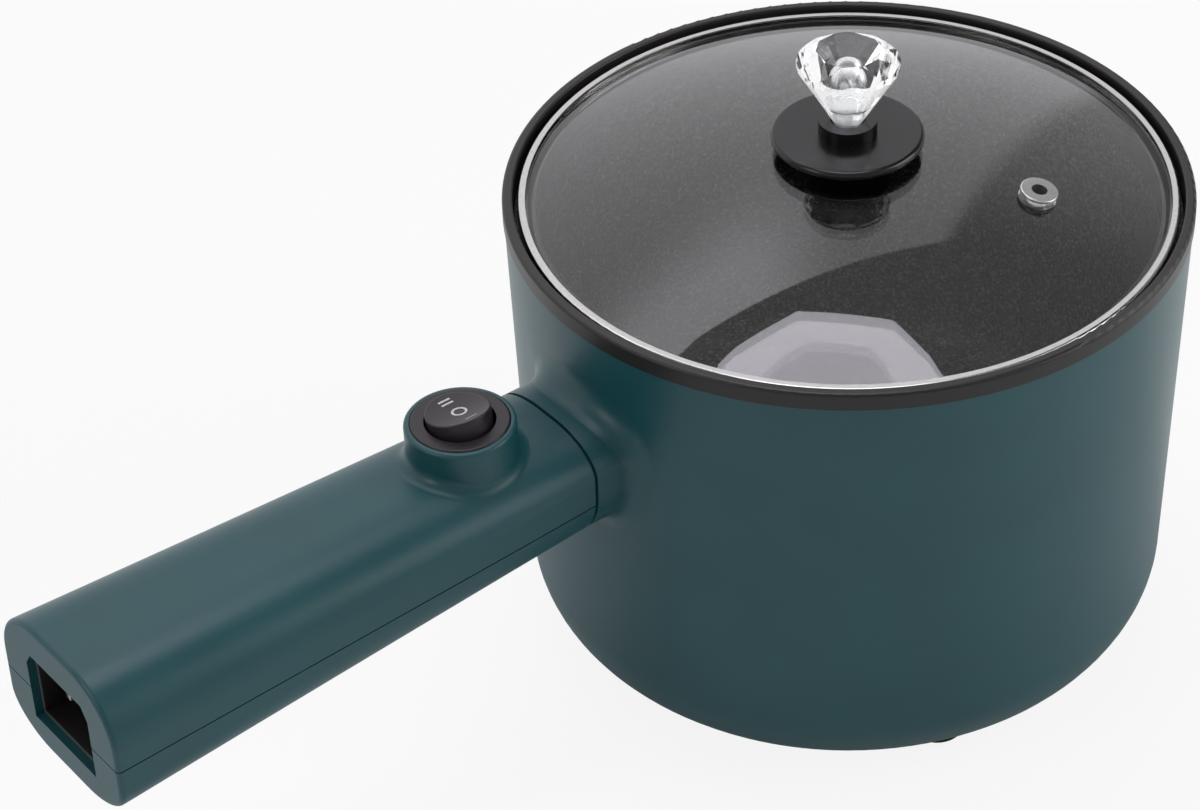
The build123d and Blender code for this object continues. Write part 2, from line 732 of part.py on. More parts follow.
with BuildPart() as handle_blank:
    add(handle_body)
    fillet(faces().sort_by(Axis.X)[0].outer_wire().edges(), end_edge_round)
    with BuildSketch(Plane(origin=(switch_x, 0, boss_top))):
        Circle(boss_r)
    extrude(amount=-(boss_top - parting_height))
    boss_edges = edges().filter_by_position(Axis.X, switch_x - boss_r - 1, switch_x + boss_r + 1)
    boss_edges = boss_edges.filter_by_position(Axis.Z, parting_height, root_top + 1)
    fillet(boss_edges, boss_root_round)
    fillet(edges().filter_by(GeomType.CIRCLE).sort_by(Axis.Z)[-1], rim_edge_round)
    add(handle_core.part, mode=Mode.SUBTRACT)
    # rear ribs that hold the inlet against the end wall
    extrude(handle_section(inlet_back, handle_wall / 2), amount=-inlet_rib)
    with BuildSketch(handle_plane(inlet_back)):
        with Locations((0, (inlet_top + inlet_bottom) / 2)):
            Rectangle(2 * (inlet_half - inlet_rib_lap), inlet_top - inlet_bottom - 2 * inlet_rib_lap)
    extrude(amount=-inlet_rib, mode=Mode.SUBTRACT)
    # screw bosses on the inner end wall, and the tongue that closes the seam
    with BuildSketch(handle_plane(core_start)):
        with Locations((-anchor_side, anchor_height), (anchor_side, anchor_height)):
            Circle(anchor_boss_r)
    extrude(amount=anchor_boss)
    extrude(handle_section(collar_end, handle_wall / 2), amount=seam_gap + bulkhead / 2)
    # openings through both end walls
    extrude(inlet_outline(handle_reach, 0), amount=-2 * handle_wall, mode=Mode.SUBTRACT)
    with BuildSketch(handle_plane(collar_end)):
        with Locations((0, lead_height)):
            Rectangle(2 * lead_slot_half, lead_slot_height)
        with Locations((-anchor_side, anchor_height), (anchor_side, anchor_height)):
            Circle(m4_r + running_gap)
    extrude(amount=seam_gap + bulkhead, mode=Mode.SUBTRACT)
    with BuildSketch(handle_plane(collar_end)):
        with Locations((-anchor_side, anchor_height), (anchor_side, anchor_height)):
            Circle(m4_r + running_gap)
    extrude(amount=seam_gap + bulkhead + anchor_boss, mode=Mode.SUBTRACT)
    # hole for the switch, with a shallow seat for its bezel
    with BuildSketch(Plane(origin=(switch_x, 0, boss_top))):
        Circle(barrel_r + panel_gap)
    extrude(amount=-(boss_top - parting_height), mode=Mode.SUBTRACT)
    with BuildSketch(Plane(origin=(switch_x, 0, bezel_low))):
        Circle(bezel_r + panel_gap)
    extrude(amount=bezel_sink, mode=Mode.SUBTRACT)
    # posts for the screws that join the two halves
    for reach in shell_screw_reaches:
        post_x = pot_x - reach
        with BuildSketch(Plane(origin=(post_x, 0, tip_bottom + handle_wall / 2))):
            Circle(shell_screw_boss_r)
        extrude(amount=(root_top + tip_top) / 2 - tip_bottom - handle_wall)
        with BuildSketch(Plane(origin=(post_x, 0, parting_height + shell_screw_bite))):
            Circle(shell_screw_r + running_gap)
        extrude(amount=-(tip_top - tip_bottom), mode=Mode.SUBTRACT)
        with BuildSketch(Plane(origin=(post_x, 0, tip_bottom - 1))):
            Circle(shell_screw_head_r + screw_shank_gap)
        extrude(amount=1 + shell_screw_sink + shell_screw_head, mode=Mode.SUBTRACT)
    add(parting_groove.part, mode=Mode.SUBTRACT)

for half_name, kept in (("handle_upper_shell", Keep.TOP), ("handle_lower_shell", Keep.BOTTOM)):
    with BuildPart() as half:
        add(handle_blank.part)
        split(bisect_by=Plane.XY.offset(parting_height), keep=kept)
    half.part.label = half_name
    export_step(half.part, f"parts/{half_name}.step")

# ---- anchor plate, its screws and the screws that close the handle ----
plate_face = collar_floor_reach
with BuildPart() as handle_anchor_plate:
    with BuildSketch(handle_plane(plate_face)):
        with Locations((0, anchor_height)):
            RectangleRounded(2 * anchor_plate_half, anchor_plate_height, anchor_plate)
        with Locations((-anchor_side, anchor_height), (anchor_side, anchor_height)):
            Circle(m4_r + running_gap, mode=Mode.SUBTRACT)
    extrude(amount=-anchor_plate)
handle_anchor_plate.part.label = "handle_anchor_plate"
export_step(handle_anchor_plate.part, "parts/handle_anchor_plate.step")

anchor_screw_length = anchor_plate + 2 * bulkhead + seam_gap + anchor_boss - screw_end_gap
with BuildPart() as handle_anchor_screws:
    with BuildSketch(handle_plane(plate_face - anchor_plate)):
        with Locations((-anchor_side, anchor_height), (anchor_side, anchor_height)):
            Circle(m4_r)
    extrude(amount=anchor_screw_length)
    with BuildSketch(handle_plane(plate_face - anchor_plate)):
        with Locations((-anchor_side, anchor_height), (anchor_side, anchor_height)):
            Circle(m4_head_r)
    extrude(amount=-m4_head)
handle_anchor_screws.part.label = "handle_anchor_screws"
export_step(handle_anchor_screws.part, "parts/handle_anchor_screws.step")

shell_screw_seat = tip_bottom + shell_screw_sink + shell_screw_head
with BuildPart() as handle_shell_screws:
    with BuildSketch(Plane.XY.offset(shell_screw_seat)):
        for reach in shell_screw_reaches:
            with Locations((pot_x - reach, 0)):
                Circle(shell_screw_r)
    extrude(amount=parting_height + shell_screw_bite - shell_screw_seat - screw_end_gap)
    with BuildSketch(Plane.XY.offset(shell_screw_seat)):
        for reach in shell_screw_reaches:
            with Locations((pot_x - reach, 0)):
                Circle(shell_screw_head_r)
    extrude(amount=-shell_screw_head)
handle_shell_screws.part.label = "handle_shell_screws"
export_step(handle_shell_screws.part, "parts/handle_shell_screws.step")

# ---- appliance inlet: socket body and three blades ----
blade_mid = (inlet_top + inlet_bottom) / 2
blade_spots = [
    (-blade_pitch, blade_mid - blade_drop),
    (0, blade_mid + earth_rise),
    (blade_pitch, blade_mid - blade_drop),
]
with BuildPart() as inlet_body:
    extrude(inlet_outline(inlet_front, socket_inset - socket_wall), amount=-socket_depth - socket_back)
    extrude(inlet_outline(inlet_front, socket_inset), amount=-socket_depth, mode=Mode.SUBTRACT)
    with BuildSketch(handle_plane(inlet_front)):
        with Locations(*blade_spots):
            Rectangle(blade_thick, blade_wide)
    extrude(amount=-socket_depth - socket_back, mode=Mode.SUBTRACT)
inlet_body.part.label = "inlet_body"
export_step(inlet_body.part, "parts/inlet_body.step")

with BuildPart() as inlet_blades:
    with BuildSketch(handle_plane(inlet_back)):
        with Locations(*blade_spots):
            Rectangle(blade_thick, blade_wide)
    extrude(amount=socket_back + blade_length)
    fillet(edges().filter_by(Axis.X, reverse=True).group_by(Axis.X)[0], blade_thick / 4)
    with BuildSketch(handle_plane(inlet_back)):
        with Locations(*blade_spots):
            Rectangle(tab_thick, tab_wide)
    extrude(amount=-tab_length)
inlet_blades.part.label = "inlet_blades"
export_step(inlet_blades.part, "parts/inlet_blades.step")

# ---- rocker switch ----
pivot_height = bezel_top - pivot_drop
barrel_low = bezel_low - barrel_depth
lever_low = pivot_height - lever_drop - lever_thick
lever_tilt = lever_ratio * rocker_tilt
lever_dip = lever_half * math.tan(math.radians(lever_tilt))
contact_top = lever_low - lever_dip - contact_gap
tab_low = barrel_low - tab_drop
contact_sides = (-contact_pitch, 0, contact_pitch)
rocker_high = pivot_drop + rocker_stand
dish_r = (rocker_r**2 + rocker_dish**2) / (2 * rocker_dish)
plunger_tip = lever_drop - lever_gap


def swing_plane(height, tilt):
    """Plane across the switch, turned about the rocker's axis so that the near side rises by tilt."""
    lean = math.radians(tilt)
    return Plane(
        origin=(switch_x, 0, height),
        x_dir=(0, -math.cos(lean), math.sin(lean)),
        z_dir=(-1, 0, 0),
    )


rocker_plane = swing_plane(pivot_height, rocker_tilt)
rocker_level = Plane(origin=rocker_plane.origin, x_dir=(1, 0, 0), z_dir=rocker_plane.y_dir)

with BuildPart() as switch_housing:
    with BuildSketch(Plane(origin=(switch_x, 0, bezel_low))):
        Circle(bezel_r)
    extrude(amount=bezel_thick)
    fillet(edges().filter_by(GeomType.CIRCLE).group_by(Axis.Z)[-1], bezel_thick / 4)
    with BuildSketch(Plane(origin=(switch_x, 0, barrel_low))):
        Circle(barrel_r)
    extrude(amount=barrel_depth)
    with BuildSketch(Plane(origin=(switch_x, 0, barrel_low + barrel_floor))):
        Circle(window_r)
    extrude(amount=barrel_depth + bezel_thick, mode=Mode.SUBTRACT)
    with BuildSketch(swing_plane(pivot_height, 0)):
        Circle(trunnion_r + running_gap)
    extrude(amount=barrel_r, both=True, mode=Mode.SUBTRACT)
    with BuildSketch(Plane(origin=(switch_x, 0, barrel_low))):
        for side in contact_sides:
            with Locations((0, side)):
                Rectangle(tab_wide, tab_thick)
    extrude(amount=barrel_floor, mode=Mode.SUBTRACT)
switch_housing.part.label = "switch_housing"
export_step(switch_housing.part, "parts/switch_housing.step")

with BuildPart() as switch_rocker:
    with BuildSketch(rocker_plane):
        with Locations((0, (rocker_high - rocker_under) / 2)):
            Rectangle(2 * rocker_r, rocker_high + rocker_under)
        with Locations((0, rocker_high - rocker_dish + dish_r)):
            Circle(dish_r, mode=Mode.SUBTRACT)
    extrude(amount=rocker_r, both=True)
    with BuildSketch(rocker_level.offset(-rocker_under)):
        Circle(rocker_r)
    extrude(amount=rocker_high + rocker_under, mode=Mode.INTERSECT)
    fillet(faces().sort_by(Axis.Z)[-1].edges(), rocker_edge_round)
    with BuildSketch(rocker_plane):
        Circle(trunnion_r)
    extrude(amount=barrel_r - trunnion_end_gap, both=True)
    with BuildSketch(rocker_level.offset(-stem_depth)):
        Circle(stem_r)
    extrude(amount=stem_depth - rocker_under)
    with BuildSketch(rocker_level.offset(-stem_depth)):
        Circle(stem_bore_r)
    extrude(amount=stem_depth - stem_bore_top, mode=Mode.SUBTRACT)
switch_rocker.part.label = "switch_rocker"
export_step(switch_rocker.part, "parts/switch_rocker.step")

with BuildPart() as switch_plunger:
    with BuildSketch(rocker_plane):
        with BuildLine():
            seat_edge = (plunger_r, -plunger_seat)
            shoulder = (plunger_r, plunger_r - plunger_tip)
            Polyline((0, -plunger_tip), (0, -plunger_seat), seat_edge, shoulder)
            RadiusArc(shoulder, (0, -plunger_tip), plunger_r)
        make_face()
    revolve(axis=Axis(rocker_plane.origin, rocker_plane.y_dir))
switch_plunger.part.label = "switch_plunger"
export_step(switch_plunger.part, "parts/switch_plunger.step")

spring_r = stem_bore_r - 2 * spring_wire_r
spring_height = plunger_seat - stem_bore_top - 2 * spring_wire_r
spring_foot = rocker_level.offset(-plunger_seat + spring_wire_r)
with BuildPart() as switch_spring:
    with BuildLine() as coil:
        Helix(spring_pitch, spring_height, spring_r, spring_foot.origin, spring_foot.z_dir)
    with BuildSketch(Plane(origin=coil.line @ 0, z_dir=coil.line % 0)):
        Circle(spring_wire_r)
    sweep(is_frenet=True)
switch_spring.part.label = "switch_spring"
export_step(switch_spring.part, "parts/switch_spring.step")

with BuildPart() as switch_contact_lever:
    with BuildSketch(swing_plane(lever_low, -lever_tilt)):
        with Locations((0, lever_thick / 2)):
            Rectangle(2 * lever_half, lever_thick)
        Circle(tab_thick / 2 + running_gap, mode=Mode.SUBTRACT)
    extrude(amount=lever_wide / 2, both=True)
switch_contact_lever.part.label = "switch_contact_lever"
export_step(switch_contact_lever.part, "parts/switch_contact_lever.step")

with BuildPart() as switch_terminals:
    for side in contact_sides:
        tab_top = contact_top if side else lever_low
        with BuildSketch(Plane(origin=(switch_x, side, tab_low))):
            Rectangle(tab_wide, tab_thick)
        extrude(amount=tab_top - tab_low)
    with BuildSketch(swing_plane(lever_low, 0)):
        Circle(tab_thick / 2)
    extrude(amount=tab_wide / 2, both=True)
switch_terminals.part.label = "switch_terminals"
export_step(switch_terminals.part, "parts/switch_terminals.step")

diode_height = (barrel_low + tab_low) / 2
diode_reach = switch_reach + diode_offset
with BuildPart() as half_power_diode:
    with BuildLine() as diode_wire:
        FilletPolyline(
            at(switch_reach + tab_wide / 2, -contact_pitch, diode_height),
            at(diode_reach, -contact_pitch, diode_height),
            at(diode_reach, contact_pitch, diode_height),
            at(switch_reach + tab_wide / 2, contact_pitch, diode_height),
            radius=diode_bend,
        )
    with BuildSketch(Plane(origin=diode_wire.line @ 0, z_dir=diode_wire.line % 0)):
        Circle(diode_wire_r)
    sweep()
    with BuildSketch(Plane(origin=at(diode_reach, 0, diode_height), z_dir=(0, 1, 0))):
        Circle(diode_r)
    extrude(amount=diode_length / 2, both=True)
half_power_diode.part.label = "half_power_diode"
export_step(half_power_diode.part, "parts/half_power_diode.step")

# ---- heater: plate cast onto the pot's floor, ring element, studs and shield ----
plate_low = pot_under - plate_thick
tube_height = plate_low + heater_sink - heater_tube_r
shield_top = plate_low - shield_drop
shield_low = shield_top - shield_thick
pin_side = heater_ring_r * math.sin(math.radians(heater_gap_angle))
pin_reach = heater_ring_r * math.cos(math.radians(heater_gap_angle))
block_inner_reach = pin_reach - block_lap
block_outer_reach = block_inner_reach + block_deep
leg_low = tube_height - heater_leg
pin_top = tube_height - heater_leg / 2
block_low = foot_height + cover_thick
block_top = block_low + block_height
pin_low = block_top - pin_bite
pin_spots = [(pot_x - pin_reach, pin_side), (pot_x - pin_reach, -pin_side)]
lug_side = lead_outer_lane
lug_reach = math.sqrt(lug_ring_r**2 - lug_side**2)
lug_top = plate_low - lug_boss

with BuildPart() as heating_plate:
    with BuildSketch(pot_plane(plate_low)):
        Circle(plate_r)
    extrude(amount=plate_thick)
    with BuildSketch(radial_plane(0)):
        with Locations((heater_ring_r, tube_height)):
            Circle(heater_tube_r)
    revolve(axis=pot_axis, mode=Mode.SUBTRACT)
    with BuildSketch(pot_plane(shield_top)):
        with PolarLocations(stud_ring_r, stud_count):
            Circle(stud_r)
    extrude(amount=plate_low - shield_top)
    with BuildSketch(pot_plane(stud_end)):
        with PolarLocations(stud_ring_r, stud_count):
            Circle(stud_neck_r)
    extrude(amount=shield_top - stud_end)
    with BuildSketch(pot_plane(stud_end)):
        with PolarLocations(stud_ring_r, stud_count):
            Circle(m4_r + running_gap)
    extrude(amount=shield_top - stud_end, mode=Mode.SUBTRACT)
    with BuildSketch(pot_plane(plate_low - thermostat_cap)):
        with Locations((0, -clip_boss_side), (0, clip_boss_side)):
            Circle(clip_boss_r)
            Circle(m3_r + running_gap, mode=Mode.SUBTRACT)
    extrude(amount=thermostat_cap)
    with BuildSketch(Plane(origin=at(lug_reach, lug_side, lug_top))):
        Circle(lug_boss_r)
    extrude(amount=lug_boss)
    with BuildSketch(Plane(origin=at(lug_reach, lug_side, lug_top))):
        Circle(m4_r + running_gap)
    extrude(amount=lug_boss + plate_thick / 2, mode=Mode.SUBTRACT)
heating_plate.part.label = "heating_plate"
export_step(heating_plate.part, "parts/heating_plate.step")

with BuildPart() as heating_element:
    with BuildSketch(radial_plane(180 + heater_gap_angle)):
        with Locations((heater_ring_r, tube_height)):
            Circle(heater_tube_r)
    revolve(axis=pot_axis, revolution_arc=360 - 2 * heater_gap_angle)
    for pin_x, pin_y in pin_spots:
        with Locations((pin_x, pin_y, tube_height)):
            Sphere(heater_tube_r)
        with BuildSketch(Plane(origin=(pin_x, pin_y, leg_low))):
            Circle(heater_tube_r)
        extrude(amount=heater_leg)
        with BuildSketch(Plane(origin=(pin_x, pin_y, leg_low))):
            Circle(heater_pin_r + running_gap)
        extrude(amount=pin_top - leg_low, mode=Mode.SUBTRACT)
heating_element.part.label = "heating_element"
export_step(heating_element.part, "parts/heating_element.step")

with BuildPart() as heater_pins:
    for pin_x, pin_y in pin_spots:
        with BuildSketch(Plane(origin=(pin_x, pin_y, pin_low))):
            Circle(heater_pin_r)
        extrude(amount=pin_top - pin_low)
heater_pins.part.label = "heater_pins"
export_step(heater_pins.part, "parts/heater_pins.step")

with BuildPart() as heat_shield:
    with BuildSketch(pot_plane(shield_low)):
        Circle(shield_r)
        Circle(shield_hole_r, mode=Mode.SUBTRACT)
        with Locations((-shield_r, 0)):
            Rectangle(2 * shield_r, 2 * shield_slot_half, mode=Mode.SUBTRACT)
        with PolarLocations(stud_ring_r, stud_count):
            Circle(stud_neck_r + running_gap, mode=Mode.SUBTRACT)
    extrude(amount=shield_thick)
heat_shield.part.label = "heat_shield"
export_step(heat_shield.part, "parts/heat_shield.step")

# ---- thermostat with its clip, thermal fuse with its sleeve and strap ----
neck_low = plate_low - thermostat_cap - thermostat_neck
thermostat_tab_side = thermostat_neck_r / 2
with BuildPart() as thermostat:
    with BuildSketch(pot_plane(plate_low)):
        Circle(thermostat_r)
    extrude(amount=-thermostat_cap)
    with BuildSketch(pot_plane(neck_low)):
        Circle(thermostat_neck_r)
    extrude(amount=thermostat_neck)
    with BuildSketch(pot_plane(neck_low)):
        with Locations((0, -thermostat_tab_side), (0, thermostat_tab_side)):
            Rectangle(tab_wide, tab_thick)
    extrude(amount=-tab_drop)
thermostat.part.label = "thermostat"
export_step(thermostat.part, "parts/thermostat.step")

clip_top = plate_low - thermostat_cap
with BuildPart() as thermostat_clip:
    with BuildSketch(pot_plane(clip_top)):
        Rectangle(2 * clip_half_width, 2 * clip_half_length)
        Circle(thermostat_neck_r + clip_eye)
        Circle(thermostat_neck_r + running_gap, mode=Mode.SUBTRACT)
        with Locations((0, -clip_boss_side), (0, clip_boss_side)):
            Circle(m3_r + running_gap, mode=Mode.SUBTRACT)
    extrude(amount=-clip_thick)
thermostat_clip.part.label = "thermostat_clip"
export_step(thermostat_clip.part, "parts/thermostat_clip.step")

with BuildPart() as clip_screws:
    with BuildSketch(pot_plane(clip_top - clip_thick)):
        with Locations((0, -clip_boss_side), (0, clip_boss_side)):
            Circle(m3_r)
    extrude(amount=clip_thick + thermostat_cap - 2 * running_gap)
    with BuildSketch(pot_plane(clip_top - clip_thick)):
        with Locations((0, -clip_boss_side), (0, clip_boss_side)):
            Circle(m3_head_r)
    extrude(amount=-m3_head)
clip_screws.part.label = "clip_screws"
export_step(clip_screws.part, "parts/clip_screws.step")

sleeve_r = fuse_r + running_gap + sleeve_wall
fuse_reach = block_inner_reach - fuse_setback
fuse_height = plate_low - sleeve_r
fuse_plane = Plane(origin=at(fuse_reach, 0, fuse_height), x_dir=(1, 0, 0), z_dir=(0, -1, 0))
with BuildPart() as thermal_fuse:
    with BuildSketch(fuse_plane):
        Circle(fuse_r)
    extrude(amount=fuse_length / 2, both=True)
thermal_fuse.part.label = "thermal_fuse"
export_step(thermal_fuse.part, "parts/thermal_fuse.step")

with BuildPart() as fuse_sleeve:
    with BuildSketch(fuse_plane):
        Circle(sleeve_r)
        Circle(sleeve_r - sleeve_wall, mode=Mode.SUBTRACT)
    extrude(amount=sleeve_length / 2, both=True)
fuse_sleeve.part.label = "fuse_sleeve"
export_step(fuse_sleeve.part, "parts/fuse_sleeve.step")

strap_r = sleeve_r + running_gap
with BuildPart() as fuse_strap:
    with BuildSketch(fuse_plane):
        Circle(strap_r + strap_thick)
        with Locations((0, sleeve_r / 2)):
            Rectangle(2 * (strap_r + strap_thick), sleeve_r)
        with Locations((0, sleeve_r - strap_thick / 2)):
            Rectangle(2 * (strap_r + strap_foot), strap_thick)
        Circle(strap_r, mode=Mode.SUBTRACT)
        with Locations((0, sleeve_r / 2)):
            Rectangle(2 * strap_r, sleeve_r, mode=Mode.SUBTRACT)
        with Locations((0, 2 * sleeve_r)):
            Rectangle(4 * strap_foot, 2 * sleeve_r, mode=Mode.SUBTRACT)
    extrude(amount=strap_wide / 2, both=True)
fuse_strap.part.label = "fuse_strap"
export_step(fuse_strap.part, "parts/fuse_strap.step")

# ---- earth lug and screw ----
lug_screw_length = lug_thick + lug_boss + plate_thick / 2 - 2 * running_gap
with BuildPart() as earth_lug:
    with BuildSketch(Plane(origin=at(lug_reach, lug_side, lug_top))):
        Circle(lug_r)
        Circle(m4_r + running_gap, mode=Mode.SUBTRACT)
    extrude(amount=-lug_thick)
earth_lug.part.label = "earth_lug"
export_step(earth_lug.part, "parts/earth_lug.step")

with BuildPart() as earth_screw:
    with BuildSketch(Plane(origin=at(lug_reach, lug_side, lug_top - lug_thick))):
        Circle(m4_r)
    extrude(amount=lug_screw_length)
    with BuildSketch(Plane(origin=at(lug_reach, lug_side, lug_top - lug_thick))):
        Circle(m4_head_r)
    extrude(amount=-m4_head)
earth_screw.part.label = "earth_screw"
export_step(earth_screw.part, "parts/earth_screw.step")

# ---- base cover with its screws and feet ----
taper_turn = math.atan((shell_top_r - shell_base_r) / (shell_top - foot_height))
round_mid_r = shell_base_r - base_round * math.tan(math.radians(45) - taper_turn / 2)
round_mid = foot_height + base_round
spigot_r = round_mid_r + math.sqrt((base_round - shell_wall) ** 2 - (round_mid - cover_split) ** 2) - easy_gap
cover_screw_seat = stud_end - cover_screw_web
cover_screw_low = foot_height + cover_screw_sink

with BuildPart() as base_cover:
    add(shell_form(0, shell_top))
    split(bisect_by=Plane.XY.offset(cover_split), keep=Keep.BOTTOM)
    with BuildSketch(pot_plane(foot_height + cover_thick)):
        Circle(spigot_r - spigot_wall)
    extrude(amount=spigot_height + cover_thick, mode=Mode.SUBTRACT)
    with BuildSketch(pot_plane(foot_height + cover_thick)):
        Circle(spigot_r)
        Circle(spigot_r - spigot_wall, mode=Mode.SUBTRACT)
    extrude(amount=spigot_height)
    with BuildSketch(pot_plane(foot_height)):
        with PolarLocations(stud_ring_r, stud_count):
            Circle(cover_boss_r)
    extrude(amount=shield_low - foot_height)
    with BuildSketch(pot_plane(stud_end)):
        with PolarLocations(stud_ring_r, stud_count):
            Circle(stud_neck_r + running_gap)
    extrude(amount=shield_low - stud_end, mode=Mode.SUBTRACT)
    with BuildSketch(pot_plane(foot_height)):
        with PolarLocations(stud_ring_r, stud_count):
            Circle(m4_r + running_gap)
    extrude(amount=stud_end - foot_height, mode=Mode.SUBTRACT)
    with BuildSketch(pot_plane(foot_height)):
        with PolarLocations(stud_ring_r, stud_count):
            Circle(m4_head_r + screw_shank_gap)
    extrude(amount=cover_screw_seat - foot_height, mode=Mode.SUBTRACT)
    with BuildSketch(pot_plane(foot_height)):
        with PolarLocations(vent_reach, vent_count, start_angle=180 / vent_count):
            SlotOverall(vent_length, vent_width)
    extrude(amount=cover_thick, mode=Mode.SUBTRACT)
    with BuildSketch(pot_plane(foot_height)):
        with PolarLocations(foot_ring_r, foot_count, start_angle=180):
            Circle(foot_r + running_gap)
    extrude(amount=foot_sink, mode=Mode.SUBTRACT)
base_cover.part.label = "base_cover"
export_step(base_cover.part, "parts/base_cover.step")

with BuildPart() as base_screws:
    with BuildSketch(pot_plane(cover_screw_low)):
        with PolarLocations(stud_ring_r, stud_count):
            Circle(m4_head_r)
    extrude(amount=cover_screw_seat - cover_screw_low)
    with BuildSketch(pot_plane(cover_screw_seat)):
        with PolarLocations(stud_ring_r, stud_count):
            Circle(m4_r)
    extrude(amount=shield_top - 2 * screw_end_gap - cover_screw_seat)
    with BuildSketch(pot_plane(cover_screw_low)):
        with PolarLocations(stud_ring_r, stud_count):
            Rectangle(m4_slot_length, m4_slot)
            Rectangle(m4_slot, m4_slot_length)
    extrude(amount=m4_head / 2, mode=Mode.SUBTRACT)
base_screws.part.label = "base_screws"
export_step(base_screws.part, "parts/base_screws.step")

for foot_number in range(foot_count):
    foot_turn = math.radians(180 + foot_number * 360 / foot_count)
    foot_x = pot_x + foot_ring_r * math.cos(foot_turn)
    foot_y = foot_ring_r * math.sin(foot_turn)
    with BuildPart() as foot:
        with BuildSketch(Plane(origin=(foot_x, foot_y, 0))):
            Circle(foot_r)
        extrude(amount=foot_height + cover_thick - 2 * running_gap)
        add(base_cover.part, mode=Mode.SUBTRACT)
        chamfer(edges().group_by(Axis.Z)[0], foot_height / 5)
    foot.part.label = f"foot_{foot_number + 1}"
    export_step(foot.part, f"parts/foot_{foot_number + 1}.step")

# ---- terminal block on the base cover ----
block_entry = block_low + block_height / 2
block_lead_sides = (8.0, 2.0)
wall_lead_sides = (-lead_outer_lane, -(contact_pitch + tab_thick / 2 + lead_r))
with BuildPart() as terminal_block:
    with BuildSketch(Plane(origin=at((block_inner_reach + block_outer_reach) / 2, 0, block_low))):
        RectangleRounded(block_outer_reach - block_inner_reach, 2 * block_half, block_round)
    extrude(amount=block_height)
    for pin_x, pin_y in pin_spots:
        with BuildSketch(Plane(origin=(pin_x, pin_y, block_top))):
            Circle(heater_pin_r + running_gap)
        extrude(amount=pin_low - block_top, mode=Mode.SUBTRACT)
    with BuildSketch(handle_plane(block_outer_reach)):
        for side in wall_lead_sides:
            with Locations((side, block_entry)):
                Circle(lead_r + running_gap)
    extrude(amount=-block_bore, mode=Mode.SUBTRACT)
    with BuildSketch(handle_plane(block_inner_reach)):
        for side in block_lead_sides:
            with Locations((side, block_entry)):
                Circle(lead_r + running_gap)
    extrude(amount=block_bore, mode=Mode.SUBTRACT)
terminal_block.part.label = "terminal_block"
export_step(terminal_block.part, "parts/terminal_block.step")

# ---- leads: straight runs joined by tangent bends ----
tab_offset = tab_thick / 2 + lead_r
live_lane = blade_pitch + tab_offset
blade_low = blade_mid - blade_drop
switch_tab_mid = (barrel_low + tab_low) / 2
fuse_end = fuse_length / 2
sleeve_side = sleeve_length / 2 + 2 * lead_bend / 3 + lead_r
sensor_height = neck_low - tab_drop / 2
sensor_side = thermostat_tab_side + tab_offset
inlet_tab_reach = inlet_back - tab_length / 2


def hang(radius, side):
    """Reach of a point at a radius from the pot's axis and a distance to the side."""
    return math.sqrt(radius**2 - side**2)


def wall_drop(side):
    """Points of a lead that leaves the collar and hangs between the pot and the shell."""
    return [
        at(hang(pot_r + lead_wall_top, side), side, lead_height),
        at(hang(pot_r + lead_wall_low, side), side, foot_height + lead_wall_rise),
    ]


block_end = block_outer_reach - block_bore + running_gap
lead_routes = {
    "lead_live": [
        at(inlet_tab_reach, live_lane, blade_low),
        at(switch_reach + lead_exit + switch_run, live_lane, blade_low),
        at(switch_reach + switch_run, tab_offset, lead_height),
        at(switch_reach, tab_offset, lead_height),
        at(switch_reach, tab_offset, switch_tab_mid),
    ],
    "lead_neutral": [
        at(inlet_tab_reach, -live_lane, blade_low),
        at(inlet_tab_reach - lead_exit, -live_lane, blade_low),
        at(inlet_tab_reach - lead_exit - lead_cross, -lead_outer_lane, lead_height),
        *wall_drop(-lead_outer_lane),
        at(block_outer_reach + lead_entry, -lead_outer_lane, block_entry),
        at(block_end, -lead_outer_lane, block_entry),
    ],
    "lead_switched": [
        at(switch_reach, -contact_pitch - tab_offset, switch_tab_mid),
        at(switch_reach, -contact_pitch - tab_offset, lead_height),
        *wall_drop(-contact_pitch - tab_offset),
        at(block_outer_reach + lead_entry, -contact_pitch - tab_offset, block_entry),
        at(block_end, -contact_pitch - tab_offset, block_entry),
    ],
    "lead_earth": [
        at(inlet_tab_reach, tab_offset, blade_mid + earth_rise),
        at(inlet_tab_reach - earth_exit, tab_offset, blade_mid + earth_rise),
        at(inlet_tab_reach - lead_exit, live_lane - 1, blade_mid + earth_rise),
        at(inlet_tab_reach - lead_exit - lead_cross, lead_outer_lane, lead_height + 2 * lead_r),
        at(inlet_tab_reach - lead_exit - lead_cross - earth_rise_run, lead_outer_lane, lead_height),
        *wall_drop(lead_outer_lane),
        at(lug_reach + earth_run_in, lug_side, lug_top - lug_thick),
        at(lug_reach + lug_r, lug_side, lug_top - lug_thick),
    ],
    "lead_fuse": [
        at(block_inner_reach + block_bore - running_gap, block_lead_sides[0], block_entry),
        at(block_inner_reach - block_bore, block_lead_sides[0], block_entry),
        at(fuse_reach, sleeve_side, block_entry + 2 * lead_r),
        at(fuse_reach, sleeve_side, fuse_height),
        at(fuse_reach, fuse_end, fuse_height),
    ],
    "lead_sensor": [
        at(fuse_reach, -fuse_end, fuse_height),
        at(fuse_reach, -sleeve_side, fuse_height),
        at(fuse_reach, -sleeve_side, sensor_height),
        at(thermostat_neck_r, -sensor_side, sensor_height),
        at(-tab_wide / 2, -sensor_side, sensor_height),
    ],
    "lead_return": [
        at(-tab_wide / 2, sensor_side, sensor_height),
        at(thermostat_neck_r, sensor_side, sensor_height),
        at(block_inner_reach - block_bore, block_lead_sides[1], block_entry),
        at(block_inner_reach + block_bore - running_gap, block_lead_sides[1], block_entry),
    ],
}
